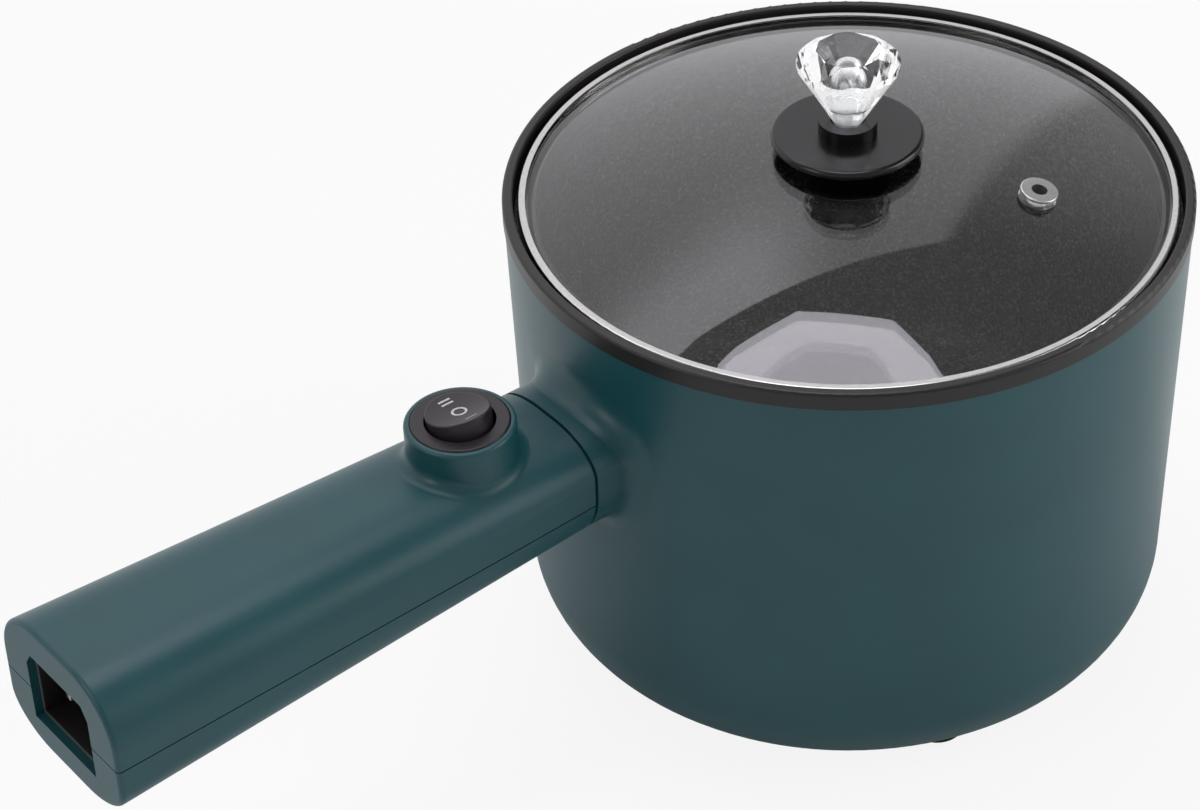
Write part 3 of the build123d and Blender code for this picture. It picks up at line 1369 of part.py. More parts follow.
for lead_name, route in lead_routes.items():
    with BuildPart() as lead:
        with BuildLine() as path:
            FilletPolyline(*route, radius=lead_bend)
        with BuildSketch(Plane(origin=path.line @ 0, z_dir=path.line % 0)):
            Circle(lead_r)
        sweep()
    lead.part.label = lead_name
    export_step(lead.part, f"parts/{lead_name}.step")
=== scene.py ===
"""Finishes, clear grip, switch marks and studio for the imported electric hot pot."""

import json
import math

import bpy
from bpy.props import FloatProperty, FloatVectorProperty, IntProperty, PointerProperty
from mathutils import Matrix, Vector

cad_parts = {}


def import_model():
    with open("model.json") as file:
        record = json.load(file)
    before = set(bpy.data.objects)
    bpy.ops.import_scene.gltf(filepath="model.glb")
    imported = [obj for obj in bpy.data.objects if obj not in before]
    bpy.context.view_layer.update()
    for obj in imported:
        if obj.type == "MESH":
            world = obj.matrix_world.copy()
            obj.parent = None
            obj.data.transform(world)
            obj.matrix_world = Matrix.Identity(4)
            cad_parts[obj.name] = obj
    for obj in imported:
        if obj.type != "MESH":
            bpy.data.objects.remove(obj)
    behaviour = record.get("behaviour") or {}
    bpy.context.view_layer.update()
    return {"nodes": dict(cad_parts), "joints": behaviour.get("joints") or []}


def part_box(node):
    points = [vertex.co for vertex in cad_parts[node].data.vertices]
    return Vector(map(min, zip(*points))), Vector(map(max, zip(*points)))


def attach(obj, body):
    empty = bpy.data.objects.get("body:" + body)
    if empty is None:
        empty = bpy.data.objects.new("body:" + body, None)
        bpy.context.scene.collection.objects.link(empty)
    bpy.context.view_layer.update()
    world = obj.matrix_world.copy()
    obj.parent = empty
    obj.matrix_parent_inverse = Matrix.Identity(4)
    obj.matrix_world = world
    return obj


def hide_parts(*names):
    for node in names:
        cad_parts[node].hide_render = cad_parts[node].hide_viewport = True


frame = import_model()

bl_info = {
    "name": "Electric Hot Pot",
    "version": (1, 0, 0),
    "blender": (4, 5, 0),
    "location": "3D View > Sidebar > Hot Pot",
    "description": "Finishes, grip, switch marks and studio for the electric hot pot",
    "category": "Object",
}

# ---- places taken from the frame ----
NODES = frame["nodes"]
ring_low, ring_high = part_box("rim_ring")
POT_X = (ring_low.x + ring_high.x) / 2
RIM_TOP = ring_high.z
crystal_low, crystal_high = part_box("knob_crystal")
rocker_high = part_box("switch_rocker")[1]
rocker_pivot = next(j for j in frame["joints"] if j["name"] == "rocker_tilt")["pos_m"]

# ---- clear grip, heights from its foot or its top ----
GRIP_FOOT = 0.0025          # height of the round foot
GIRDLE_DEPTH = 0.0054       # top down to the girdle's lower edge
CROWN_DEPTH = 0.0025        # top down to the girdle's upper edge
CONE_LAP = 0.0002           # how far the cone's flats reach past the girdle's edge
FINE_LAP = 0.0006           # the same for the fine flats between them
FINE_GIRDLE = 0.995         # fine flats at the girdle, as a share of their corner's radius
FINE_TABLE = 1.045          # fine flats at the table, as a share of its radius
BORE_TOP = 0.0062           # foot up to the end of the screw's bore
POCKET_FLOOR = 0.0075       # foot up to the outer edge of the pocket's floor
POCKET_TAPER = 0.94         # floor of the pocket, as a share of its radius
DOME_END, DOME_STEP = 85, 7     # degrees along the pocket's round top
ON_CUT = 0.000001           # tolerance of a cut, which bisect divides by the normal's length
SAME_POINT = 0.000002       # points this near to each other are merged
FOOT_SKIN = 0.0001          # the foot's face lies within this of its lowest point

# ---- marks on the rocker ----
INK_RISE = 0.00003          # rocker's skin up to the middle of the ink
DROP_HEIGHT = 0.01          # a mark falls on the rocker from this far above it
BAR_CORNER = 0.3            # rounding of a bar's corners, as a share of its width
SINGLE_BAR = 0.87           # place of the single bar, as a share of the marks' spread
WORN_INK = 0.45             # brightness of the worn single bar

# ---- studio: directions are right, away and up as the camera sees them ----
VIEW_WIDTH, VIEW_HEIGHT = 1200, 810     # pixels of the camera's view
RIM_ACROSS, RIM_DOWN = 847.1, 182.4     # pixels where the rim's middle shows
SENSOR_WIDTH = 36           # millimetres
FLOOR_SIZE = 12             # metres
FLOOR_BEHIND = (0.05, 0.1)  # mirrors see the floor fade to white this far behind the origin
SOFTBOX_SIDES = 8
SOFTBOX_RADIUS = 0.28
SOFTBOX_BAND = 0.102        # width of the bright band round the cloth
SOFTBOX_TURN = math.radians(54.5)
SOFTBOX_PLACE = (-0.025, 0.135, 0)      # its middle, from the pot's axis
SOFTBOX_RISE = 1.0          # its height above the rim
BAND_SHARE, CLOTH_SHARE = 1.32, 0.98    # shares of the softbox's strength

# Soft edges of the surround's zones, each from its first value to its second. Across is
# right / away, height is up / away, and slant is height + BOARD_SLOPE * across.
BOARD_SLOPE = 0.97
BOARD_TOP = (1.655, 1.685)  # slant
LIT_FROM = (0.6, 1.3)       # slant
LIT_UNTIL = (-0.25, 0.12)   # across
BOARD_END = (0.33, 0.40)    # across
WALL_TOP = (0.5, 1.3)       # height
BEHIND_POT = (0.0, 0.06)    # away
BEHIND_CAMERA = (-0.1, 0.05)    # away
RIGHT_END = (0.7, 0.95)     # right
SIDE_TOP = (0.3, 0.7)       # up
CEILING_FROM = (0.75, 0.95)     # up
LEAST_AWAY = 0.02           # keeps the divisions finite

# ---- fixed colours ----
BASE_BLACK = (0.02, 0.022, 0.024)
FOOT_BLACK = (0.012, 0.012, 0.012)
DEEP_BLACK = (0.01, 0.01, 0.01)
KNOB_BLACK = (0.006, 0.006, 0.0065)
SWITCH_BLACK = (0.0185, 0.013, 0.0165)
SOCKET_BLACK = (0.011, 0.0085, 0.009)
# painted highlight: pale grey for the inlet's front edge
PAINTED_EDGE_HIGHLIGHT = (0.1, 0.1, 0.1)
CLEAR_ACRYLIC = (0.985, 0.99, 1.0)
RIM_STEEL = (0.64, 0.635, 0.62)
# painted shade: dark steel for the part of the lid rim under the glass
STEEL_PAINTED_SHADE = (0.05, 0.047, 0.04)
POLISHED_STEEL = (0.8, 0.8, 0.79)
TINNED_BRASS = (0.62, 0.58, 0.5)
BARE_ZINC = (0.6, 0.61, 0.62)
CAST_ALUMINIUM = (0.6, 0.61, 0.62)
SHEET_ALUMINIUM = (0.72, 0.73, 0.74)
WHITE_CERAMIC = (0.66, 0.62, 0.54)
BROWN_SLEEVE = (0.09, 0.032, 0.014)
BLUE_SLEEVE = (0.014, 0.05, 0.25)
GREEN_SLEEVE = (0.05, 0.17, 0.02)
WHITE_SLEEVE = (0.6, 0.6, 0.58)
FLOOR_PAINT = (0.86, 0.86, 0.86)
SOFTBOX_LIGHT = (1.0, 0.975, 1.05)
ROOM_LIGHT = (1.0, 0.985, 1.02)
PLAIN_WHITE = (1, 1, 1)


# ---- sizes and colours that a user would change ----
class HotPotShell(bpy.types.PropertyGroup):
    """Moulded shell, handle and rim"""

    color: FloatVectorProperty(
        name="Shell color", description="Dark teal of the moulded shell", subtype="COLOR",
        size=3, min=0, max=1, default=(0.0085, 0.074, 0.085),
    )
    roughness: FloatProperty(
        name="Shell roughness", description="Satin of the shell", min=0, max=1, default=0.38,
    )
    grain: FloatProperty(
        name="Grain", description="Size of the mould's fine grain", subtype="DISTANCE",
        unit="LENGTH", default=0.0005,
    )
    rim_color: FloatVectorProperty(
        name="Rim color", description="Near black of the rim ring", subtype="COLOR",
        size=3, min=0, max=1, default=(0.0145, 0.0125, 0.0115),
    )


class HotPotLid(bpy.types.PropertyGroup):
    """Glass lid, its knob and the coated pot"""

    glass_color: FloatVectorProperty(
        name="Glass color", description="Smoke of the tempered glass", subtype="COLOR",
        size=3, min=0, max=1, default=(0.82, 0.81, 0.825),
    )
    coating_color: FloatVectorProperty(
        name="Coating color", description="Dark ground of the non-stick coating", subtype="COLOR",
        size=3, min=0, max=1, default=(0.02, 0.0195, 0.0205),
    )
    speck_color: FloatVectorProperty(
        name="Speck color", description="Pale specks in the coating", subtype="COLOR",
        size=3, min=0, max=1, default=(0.13, 0.127, 0.133),
    )
    facets: IntProperty(
        name="Facets", description="Sides around the clear grip", min=6, max=24, default=10,
    )
    foot_radius: FloatProperty(
        name="Foot radius", description="Round foot of the clear grip",
        subtype="DISTANCE", unit="LENGTH", default=0.0043,
    )
    table_radius: FloatProperty(
        name="Table radius", description="Flat top of the clear grip",
        subtype="DISTANCE", unit="LENGTH", default=0.0078,
    )
    bore_radius: FloatProperty(
        name="Bore radius", description="Hole for the screw in the clear grip",
        subtype="DISTANCE", unit="LENGTH", default=0.0027,
    )
    pocket_radius: FloatProperty(
        name="Pocket radius", description="Round hollow moulded inside the clear grip",
        subtype="DISTANCE", unit="LENGTH", default=0.0052,
    )
    pocket_depth: FloatProperty(
        name="Pocket depth", description="Top of the grip down to the hollow",
        subtype="DISTANCE", unit="LENGTH", default=0.0065,
    )
    pocket_dome: FloatProperty(
        name="Pocket dome", description="Height of the hollow's round top",
        subtype="DISTANCE", unit="LENGTH", default=0.0045,
    )


class HotPotSwitch(bpy.types.PropertyGroup):
    """Rocker switch"""

    mark_length: FloatProperty(
        name="Mark length", description="Length of the bars of the marks", subtype="DISTANCE",
        unit="LENGTH", default=0.0033,
    )
    mark_width: FloatProperty(
        name="Mark width", description="Width of the printed lines", subtype="DISTANCE",
        unit="LENGTH", default=0.0006,
    )
    bar_gap: FloatProperty(
        name="Bar gap", description="Gap between the two bars", subtype="DISTANCE",
        unit="LENGTH", default=0.0008,
    )
    ring_radius: FloatProperty(
        name="Ring radius", description="Outer radius of the ring mark", subtype="DISTANCE",
        unit="LENGTH", default=0.00195,
    )
    mark_spread: FloatProperty(
        name="Mark spread", description="Distance of the two bars from the ring in the middle",
        subtype="DISTANCE", unit="LENGTH", default=0.0055,
    )
    mark_color: FloatVectorProperty(
        name="Mark color", description="Off white ink of the marks", subtype="COLOR",
        size=3, min=0, max=1, default=(0.62, 0.62, 0.62),
    )


class HotPotStudio(bpy.types.PropertyGroup):
    """Camera, lamps and floor"""

    focal_length: FloatProperty(
        name="Focal length", description="Lens of the camera", subtype="DISTANCE_CAMERA",
        unit="CAMERA", default=107.0,
    )
    elevation: FloatProperty(
        name="Elevation", description="Camera's height angle above the table", subtype="ANGLE",
        unit="ROTATION", default=math.radians(38.071),
    )
    azimuth: FloatProperty(
        name="Azimuth", description="Turn of the handle away from the camera's left",
        subtype="ANGLE", unit="ROTATION", default=math.radians(36.385),
    )
    roll: FloatProperty(
        name="Roll", description="Camera's roll", subtype="ANGLE", unit="ROTATION",
        default=math.radians(-2.486),
    )
    distance: FloatProperty(
        name="Distance", description="Camera to the middle of the rim", subtype="DISTANCE",
        unit="LENGTH", default=0.8815,
    )
    softbox: FloatProperty(
        name="Softbox", description="Strength of the eight-sided softbox overhead",
        min=0, default=3.6,
    )
    board: FloatProperty(
        name="Board", description="Strength of the white board behind the table",
        min=0, default=0.92,
    )
    lit_board: FloatProperty(
        name="Lit board", description="Extra strength of the board's lit part", min=0, default=1.4,
    )
    right_wall: FloatProperty(
        name="Right wall", description="Strength of the wall to the right", min=0, default=0.3,
    )
    room: FloatProperty(
        name="Room", description="Strength of the room behind the camera", min=0, default=0.3,
    )
    right_side: FloatProperty(
        name="Right side", description="Extra strength far to the right", min=0, default=0.1,
    )
    ceiling: FloatProperty(
        name="Ceiling", description="Strength of the ceiling around the softbox",
        min=0, default=0.06,
    )
    handle_lamp: FloatProperty(
        name="Handle lamp", description="Power of the lamp by the handle's end", min=0, default=0.75,
    )
    side_lamp: FloatProperty(
        name="Side lamp", description="Power of the lamp at the right", min=0, default=4.5,
    )
    front_lamp: FloatProperty(
        name="Front lamp", description="Power of the lamp at the camera's side", min=0, default=0.3,
    )
    floor_white: FloatProperty(
        name="Floor white", description="Share of plain white in the floor's look",
        min=0, max=1, default=0.88,
    )


# ---- node helpers ----
def bare_material(name):
    """A material with an empty node tree and its output."""
    made = bpy.data.materials.new(name)
    made.use_nodes = True
    tree = made.node_tree
    tree.nodes.clear()
    return made, tree, tree.nodes.new("ShaderNodeOutputMaterial")


def new_material(name):
    """A material with one shader on its output."""
    made, tree, output = bare_material(name)
    shader = tree.nodes.new("ShaderNodeBsdfPrincipled")
    tree.links.new(shader.outputs["BSDF"], output.inputs["Surface"])
    return made, tree, shader


def add_node(tree, kind, links=None, **values):
    """A node with its settings and inputs set by name, or fed by the sockets in links."""
    made = tree.nodes.new(kind)
    for key, value in values.items():
        if hasattr(made, key):
            setattr(made, key, value)
        else:
            made.inputs[key.replace("_", " ").title()].default_value = value
    for key, socket in (links or {}).items():
        tree.links.new(socket, made.inputs[key])
    return made


def feed(tree, shader, **sockets):
    """Links sockets to the shader's inputs by name."""
    for key, socket in sockets.items():
        tree.links.new(socket, shader.inputs[key.replace("_", " ").title()])


def object_space(tree):
    """Object coordinates, which are the part's own frame in metres."""
    return add_node(tree, "ShaderNodeTexCoord").outputs["Object"]


def noise(tree, place, scale, detail):
    """Soft noise, around the middle of 0 to 1."""
    links = {"Vector": place}
    return add_node(tree, "ShaderNodeTexNoise", links, scale=scale, detail=detail).outputs["Fac"]


def two_tones(tree, factor, low, high, span=(0.0, 1.0)):
    """A ramp between two colours over a span of the factor."""
    ramp = add_node(tree, "ShaderNodeValToRGB", {"Fac": factor})
    for element, color, position in zip(ramp.color_ramp.elements, (low, high), span):
        element.position = position
        element.color = (*color, 1)
    return ramp.outputs["Color"]


def remap(tree, value, start=0.0, end=1.0, low=0.0, high=1.0, kind="LINEAR"):
    """Low at start and high at end, and no further beyond them."""
    made = add_node(
        tree, "ShaderNodeMapRange", {"Value": value}, interpolation_type=kind,
        from_min=start, from_max=end, to_min=low, to_max=high,
    )
    return made.outputs["Result"]


def calculate(tree, operation, *values):
    """A sum on numbers and sockets."""
    made = add_node(tree, "ShaderNodeMath", operation=operation)
    for number, value in enumerate(values):
        if isinstance(value, float):
            made.inputs[number].default_value = value
        else:
            tree.links.new(value, made.inputs[number])
    return made.outputs["Value"]


def from_axis(tree, place, axis_x):
    """Distance of a point from the pot's upright axis."""
    flat = add_node(tree, "ShaderNodeVectorMath", {0: place}, operation="MULTIPLY_ADD")
    flat.inputs[1].default_value = (1, 1, 0)
    flat.inputs[2].default_value = (-axis_x, 0, 0)
    links = {0: flat.outputs["Vector"]}
    return add_node(tree, "ShaderNodeVectorMath", links, operation="LENGTH").outputs["Value"]


def height_of(tree, place):
    """Height of a point."""
    return add_node(tree, "ShaderNodeSeparateXYZ", {"Vector": place}).outputs["Z"]


def seen_through(tree, path):
    """1 for what is seen straight through glass, 0 for light that a dull surface gathers."""
    direct = calculate(tree, "LESS_THAN", path.outputs["Diffuse Depth"], 0.5)
    return calculate(tree, "MULTIPLY", direct, path.outputs["Is Transmission Ray"])


def shade(color, factor):
    """A colour made lighter or darker."""
    return tuple(min(1.0, c * factor) for c in color)


def add_bump(tree, shader, height, strength, distance):
    """Bump on a shader from a height."""
    bump = add_node(
        tree, "ShaderNodeBump", {"Height": height}, strength=strength, distance=distance
    )
    tree.links.new(bump.outputs["Normal"], shader.inputs["Normal"])


# ---- finishes ----
def moulded_plastic(name, color, roughness, grain, depth=0.00002, cloud=0.06):
    """Satin moulded plastic: fine mould grain, faint clouding of colour and gloss."""
    made, tree, shader = new_material(name)
    place = object_space(tree)
    broad = noise(tree, place, scale=38.0, detail=2.0)
    fine = noise(tree, place, scale=1 / grain, detail=3.0)
    darker, lighter = shade(color, 1 - cloud), shade(color, 1 + cloud)
    tone = two_tones(tree, broad, darker, lighter, span=(0.3, 0.7))
    gloss = remap(tree, broad, low=roughness - 0.03, high=roughness + 0.03)
    feed(tree, shader, base_color=tone, roughness=gloss)
    add_bump(tree, shader, fine, strength=0.35, distance=depth)
    return made


def gloss_plastic(name, color, roughness):
    """Polished plastic with a faint ripple and hairline marks."""
    made, tree, shader = new_material(name)
    place = object_space(tree)
    ripple = noise(tree, place, scale=90.0, detail=1.0)
    hairs = noise(tree, place, scale=900.0, detail=4.0)
    tone = two_tones(tree, ripple, shade(color, 0.9), shade(color, 1.1), span=(0.3, 0.7))
    gloss = remap(tree, hairs, low=roughness * 0.7, high=roughness * 1.3)
    feed(tree, shader, base_color=tone, roughness=gloss)
    add_bump(tree, shader, ripple, strength=0.1, distance=0.00002)
    return made


def speckled_coating(name, ground, speck):
    """Dark non-stick coating with fine pale mineral specks."""
    made, tree, shader = new_material(name)
    place = object_space(tree)
    cells = add_node(tree, "ShaderNodeTexVoronoi", {"Vector": place}, scale=1700.0)
    dust = noise(tree, place, scale=2400.0, detail=2.0)
    broad = noise(tree, place, scale=60.0, detail=2.0)
    pick = add_node(tree, "ShaderNodeSeparateColor", {"Color": cells.outputs["Color"]})
    chance = calculate(tree, "MULTIPLY", pick.outputs["Red"], dust)
    tone = two_tones(tree, chance, ground, speck, span=(0.3, 0.56))
    gloss = remap(tree, broad, low=0.36, high=0.5)
    feed(tree, shader, base_color=tone, roughness=gloss)
    shader.inputs["Specular IOR Level"].default_value = 0.2
    add_bump(tree, shader, dust, strength=0.25, distance=0.00002)
    return made


def smoky_glass(name, color):
    """Tempered glass: smoky, with a very slight waviness."""
    made, tree, shader = new_material(name)
    wave = noise(tree, object_space(tree), scale=14.0, detail=0.0)
    shader.inputs["Base Color"].default_value = (*color, 1)
    shader.inputs["Transmission Weight"].default_value = 1.0
    shader.inputs["IOR"].default_value = 1.56
    feed(tree, shader, roughness=remap(tree, wave, low=0.0, high=0.02))
    add_bump(tree, shader, wave, strength=0.05, distance=0.0002)
    return made


def clear_acrylic(name, pocket_radius, pocket_top):
    """Clear acrylic with polished faces and a frosted hollow."""
    made, tree, shader = new_material(name)
    place = object_space(tree)
    wave = noise(tree, place, scale=160.0, detail=0.0)
    shader.inputs["Base Color"].default_value = (*CLEAR_ACRYLIC, 1)
    shader.inputs["Transmission Weight"].default_value = 1.0
    shader.inputs["IOR"].default_value = 1.49
    radius, height = from_axis(tree, place, POT_X), height_of(tree, place)
    inside = remap(tree, radius, start=pocket_radius + 0.0003, end=pocket_radius + 0.0001)
    below = remap(tree, height, start=pocket_top + 0.0004, end=pocket_top + 0.0002)
    hollow = calculate(tree, "MULTIPLY", inside, below)
    frost = remap(tree, hollow, low=0.0, high=0.4)
    polish = remap(tree, wave, low=0.03, high=0.07)
    feed(tree, shader, roughness=calculate(tree, "ADD", frost, polish))
    return made


def rolled_steel(name, color, painted_shade, top, side):
    """Bright rolled steel on the top and the outside, with painted shade making it dark where it
    lies under the glass.
    """
    made, tree, shader = new_material(name)
    place = object_space(tree)
    lines = noise(tree, place, scale=1600.0, detail=3.0)
    # painted shade: below its top and inside its outer side, the steel gets the dark shaded colour
    on_top = remap(tree, height_of(tree, place), start=top - 0.0005, end=top - 0.0004)
    radius = from_axis(tree, place, POT_X)
    on_side = remap(tree, radius, start=side - 0.0003, end=side - 0.0002)
    shown = calculate(tree, "MAXIMUM", on_top, on_side)
    bright = two_tones(tree, lines, shade(color, 0.9), shade(color, 1.05), span=(0.25, 0.75))
    tone = add_node(tree, "ShaderNodeMix", {"Factor": shown}, data_type="RGBA")
    dark, pale = (socket for socket in tone.inputs if socket.type == "RGBA")
    dark.default_value = (*painted_shade, 1)
    tree.links.new(bright, pale)
    mixed = next(socket for socket in tone.outputs if socket.type == "RGBA")
    feed(tree, shader, base_color=mixed, roughness=remap(tree, lines, low=0.14, high=0.28))
    shader.inputs["Metallic"].default_value = 1.0
    return made


def drawn_metal(name, color, roughness, stretch=(1, 1, 1), grain=0.0006, depth=0.00001):
    """Metal with fine lines or grain; stretch draws the grain out along an axis."""
    made, tree, shader = new_material(name)
    drawn = add_node(tree, "ShaderNodeMapping", {"Vector": object_space(tree)}, scale=stretch)
    lines = noise(tree, drawn.outputs["Vector"], scale=1 / grain, detail=3.0)
    tone = two_tones(tree, lines, shade(color, 0.88), shade(color, 1.06), span=(0.25, 0.75))
    gloss = remap(tree, lines, low=roughness - 0.07, high=roughness + 0.07)
    feed(tree, shader, base_color=tone, roughness=gloss)
    shader.inputs["Metallic"].default_value = 1.0
    add_bump(tree, shader, lines, strength=0.3, distance=depth)
    return made


def dull_rubber(name, color, roughness=0.7):
    """Rubber, silicone or ceramic with a powdery grain."""
    made, tree, shader = new_material(name)
    dust = noise(tree, object_space(tree), scale=1200.0, detail=3.0)
    tone = two_tones(tree, dust, shade(color, 0.88), shade(color, 1.18), span=(0.3, 0.75))
    gloss = remap(tree, dust, low=roughness - 0.08, high=roughness + 0.08)
    feed(tree, shader, base_color=tone, roughness=gloss)
    add_bump(tree, shader, dust, strength=0.3, distance=0.00003)
    return made


def socket_plastic(name, color, highlight_color, front):
    """Dark socket plastic with a painted highlight as a paler band along its front edge."""
    made, tree, shader = new_material(name)
    place = object_space(tree)
    grain = noise(tree, place, scale=1250.0, detail=3.0)
    reach = add_node(tree, "ShaderNodeSeparateXYZ", {"Vector": place}).outputs["X"]
    # painted highlight: paler plastic within a fraction of a millimetre of the front edge
    edge = remap(tree, reach, start=front + 0.00035, end=front + 0.0001)
    tone = two_tones(tree, edge, color, highlight_color)
    feed(tree, shader, base_color=tone, roughness=remap(tree, grain, low=0.42, high=0.6))
    add_bump(tree, shader, grain, strength=0.3, distance=0.00002)
    return made


def printed_ink(name, color):
    """Thin ink, slightly worn in places."""
    made, tree, shader = new_material(name)
    wear = noise(tree, object_space(tree), scale=2600.0, detail=2.0)
    tone = two_tones(tree, wear, shade(color, 0.72), shade(color, 1.08), span=(0.3, 0.6))
    feed(tree, shader, base_color=tone, roughness=remap(tree, wear, low=0.45, high=0.65))
    return made


def give(material, *names):
    """Puts one material on CAD nodes."""
    for name in names:
        slots = NODES[name].data.materials
        slots.clear()
        slots.append(material)


# ---- mesh helpers ----
def deselect():
    """Leaves edit mode and deselects everything."""
    if bpy.context.object and bpy.context.object.mode != "OBJECT":
        bpy.ops.object.mode_set(mode="OBJECT")
    bpy.ops.object.select_all(action="DESELECT")


def select_only(piece):
    """Leaves edit mode, selects one piece and makes it the active one."""
    deselect()
    bpy.context.view_layer.objects.active = piece
    piece.select_set(True)


def edit_all():
    """Applies the active piece's place, and opens it in edit mode with all of it selected."""
    bpy.ops.object.transform_apply(location=True, rotation=True, scale=True)
    bpy.ops.object.mode_set(mode="EDIT")
    bpy.ops.mesh.select_all(action="SELECT")


def add_disc(sides, radius, place, turn=0.0):
    """A flat disc, open in edit mode with all of it selected."""
    deselect()
    bpy.ops.mesh.primitive_circle_add(
        vertices=sides, radius=radius, fill_type="NGON", location=place, rotation=(0, 0, turn)
    )
    edit_all()
    return bpy.context.object


def select_faces(piece, wanted):
    """In edit mode, selects only the faces whose centre and normal pass a test."""
    bpy.ops.object.mode_set(mode="OBJECT")
    for edge in piece.data.edges:
        edge.select = False
    for vertex in piece.data.vertices:
        vertex.select = False
    for face in piece.data.polygons:
        face.select = wanted(face.center, face.normal)
    bpy.ops.object.mode_set(mode="EDIT")


def drop_twins(piece):
    """In edit mode, removes the second of two faces that lie on the same corners."""
    bpy.ops.object.mode_set(mode="OBJECT")
    piece.data.validate()
    bpy.ops.object.mode_set(mode="EDIT")


def raise_rings(radius, level, middle, rings):
    """Extrudes the selected face from its radius and level up through wider or narrower rings."""
    for wider, higher in rings:
        rise, grow = higher - level, wider / radius
        bpy.ops.mesh.extrude_region_move(TRANSFORM_OT_translate={"value": (0, 0, rise)})
        bpy.ops.transform.resize(value=(grow, grow, 1), center_override=middle)
        radius, level = wider, higher


def turn_outwards():
    """In edit mode, turns all faces to point outwards."""
    bpy.ops.mesh.select_all(action="SELECT")
    bpy.ops.mesh.normals_make_consistent(inside=False)


def finish_piece(piece, name, material, body, smooth=None):
    """Names a piece, puts its place in its mesh, and lets it ride on a body."""
    select_only(piece)
    bpy.ops.object.transform_apply(location=True, rotation=True, scale=True)
    piece.name = name
    piece.data.name = name
    piece.data.materials.clear()
    piece.data.materials.append(material)
    if smooth is not None:
        bpy.ops.object.shade_smooth_by_angle(angle=math.radians(smooth))
    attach(piece, body)


# ---- operators ----
class HOTPOT_OT_body_finishes(bpy.types.Operator):
    """Give the shell, the handle, the rim, the pot and the base their finishes"""

    bl_idname = "hotpot.body_finishes"
    bl_label = "Body Finishes"

    def execute(self, context):
        sizes = context.scene.hotpot_shell
        lid = context.scene.hotpot_lid
        shell = moulded_plastic("teal_shell_plastic", sizes.color, sizes.roughness, sizes.grain)
        give(shell, "outer_shell", "handle_upper_shell", "handle_lower_shell")
        rim = moulded_plastic("rim_plastic", sizes.rim_color, 0.4, sizes.grain, cloud=0.1)
        give(rim, "rim_ring")
        give(speckled_coating("speckled_coating", lid.coating_color, lid.speck_color), "inner_pot")
        base = moulded_plastic("base_plastic", BASE_BLACK, 0.55, grain=0.0008, depth=0.00006)
        give(base, "base_cover")
        rubber = dull_rubber("foot_rubber", FOOT_BLACK)
        give(rubber, "foot_1", "foot_2", "foot_3", "foot_4", "foot_5")
        return {"FINISHED"}


class HOTPOT_OT_lid_finishes(bpy.types.Operator):
    """Give the lid and its knob their finishes"""

    bl_idname = "hotpot.lid_finishes"
    bl_label = "Lid Finishes"

    def execute(self, context):
        lid = context.scene.hotpot_lid
        give(smoky_glass("smoky_glass", lid.glass_color), "lid_glass")
        low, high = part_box("lid_rim")
        radius = (high.x - low.x) / 2
        # the rim's steel carries painted shade where it lies under the glass
        steel = rolled_steel("rolled_steel", RIM_STEEL, STEEL_PAINTED_SHADE, top=high.z, side=radius)
        give(steel, "lid_rim")
        give(drawn_metal("polished_steel", POLISHED_STEEL, 0.32), "steam_eyelet")
        give(gloss_plastic("knob_black", KNOB_BLACK, 0.24), "knob_base", "knob_cap")
        give(dull_rubber("seal_rubber", DEEP_BLACK), "knob_gasket_top", "knob_gasket_low")
        return {"FINISHED"}


class HOTPOT_OT_switch_finishes(bpy.types.Operator):
    """Give the switch and the inlet their finishes"""

    bl_idname = "hotpot.switch_finishes"
    bl_label = "Switch and Inlet Finishes"

    def execute(self, context):
        switch = moulded_plastic(
            "switch_plastic", SWITCH_BLACK, 0.36, grain=0.0006, depth=0.00001, cloud=0.1
        )
        give(switch, "switch_housing", "switch_rocker")
        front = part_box("inlet_body")[0].x
        # the inlet gets a painted highlight along its front edge
        give(socket_plastic("inlet_plastic", SOCKET_BLACK, PAINTED_EDGE_HIGHLIGHT, front), "inlet_body")
        tin = drawn_metal("tinned_brass", TINNED_BRASS, 0.3, stretch=(6, 1, 1))
        give(tin, "inlet_blades", "switch_terminals", "switch_contact_lever", "earth_lug")
        return {"FINISHED"}


class HOTPOT_OT_inner_finishes(bpy.types.Operator):
    """Give the heater, the wiring and the screws their finishes"""

    bl_idname = "hotpot.inner_finishes"
    bl_label = "Inner Finishes"

    def execute(self, context):
        zinc = drawn_metal("zinc_plated_steel", BARE_ZINC, 0.32)
        give(zinc, "knob_screw", "handle_anchor_plate", "handle_anchor_screws")
        give(zinc, "handle_shell_screws", "base_screws", "clip_screws", "earth_screw")
        give(zinc, "thermostat_clip", "fuse_strap", "thermal_fuse", "switch_spring")
        give(zinc, "heating_element", "heater_pins")
        cast = drawn_metal("cast_aluminium", CAST_ALUMINIUM, 0.5, grain=0.0012, depth=0.00008)
        give(cast, "heating_plate")
        sheet = drawn_metal("sheet_aluminium", SHEET_ALUMINIUM, 0.3, stretch=(12, 1, 1))
        give(sheet, "heat_shield")
        ceramic = dull_rubber("white_ceramic", WHITE_CERAMIC, 0.5)
        give(ceramic, "thermostat", "terminal_block", "switch_plunger", "fuse_sleeve")
        give(gloss_plastic("diode_black", DEEP_BLACK, 0.3), "half_power_diode")
        give(dull_rubber("brown_lead", BROWN_SLEEVE, 0.45), "lead_live", "lead_switched")
        give(dull_rubber("blue_lead", BLUE_SLEEVE, 0.45), "lead_neutral")
        give(dull_rubber("green_lead", GREEN_SLEEVE, 0.45), "lead_earth")
        white = dull_rubber("white_lead", WHITE_SLEEVE, 0.45)
        give(white, "lead_fuse", "lead_sensor", "lead_return")
        return {"FINISHED"}


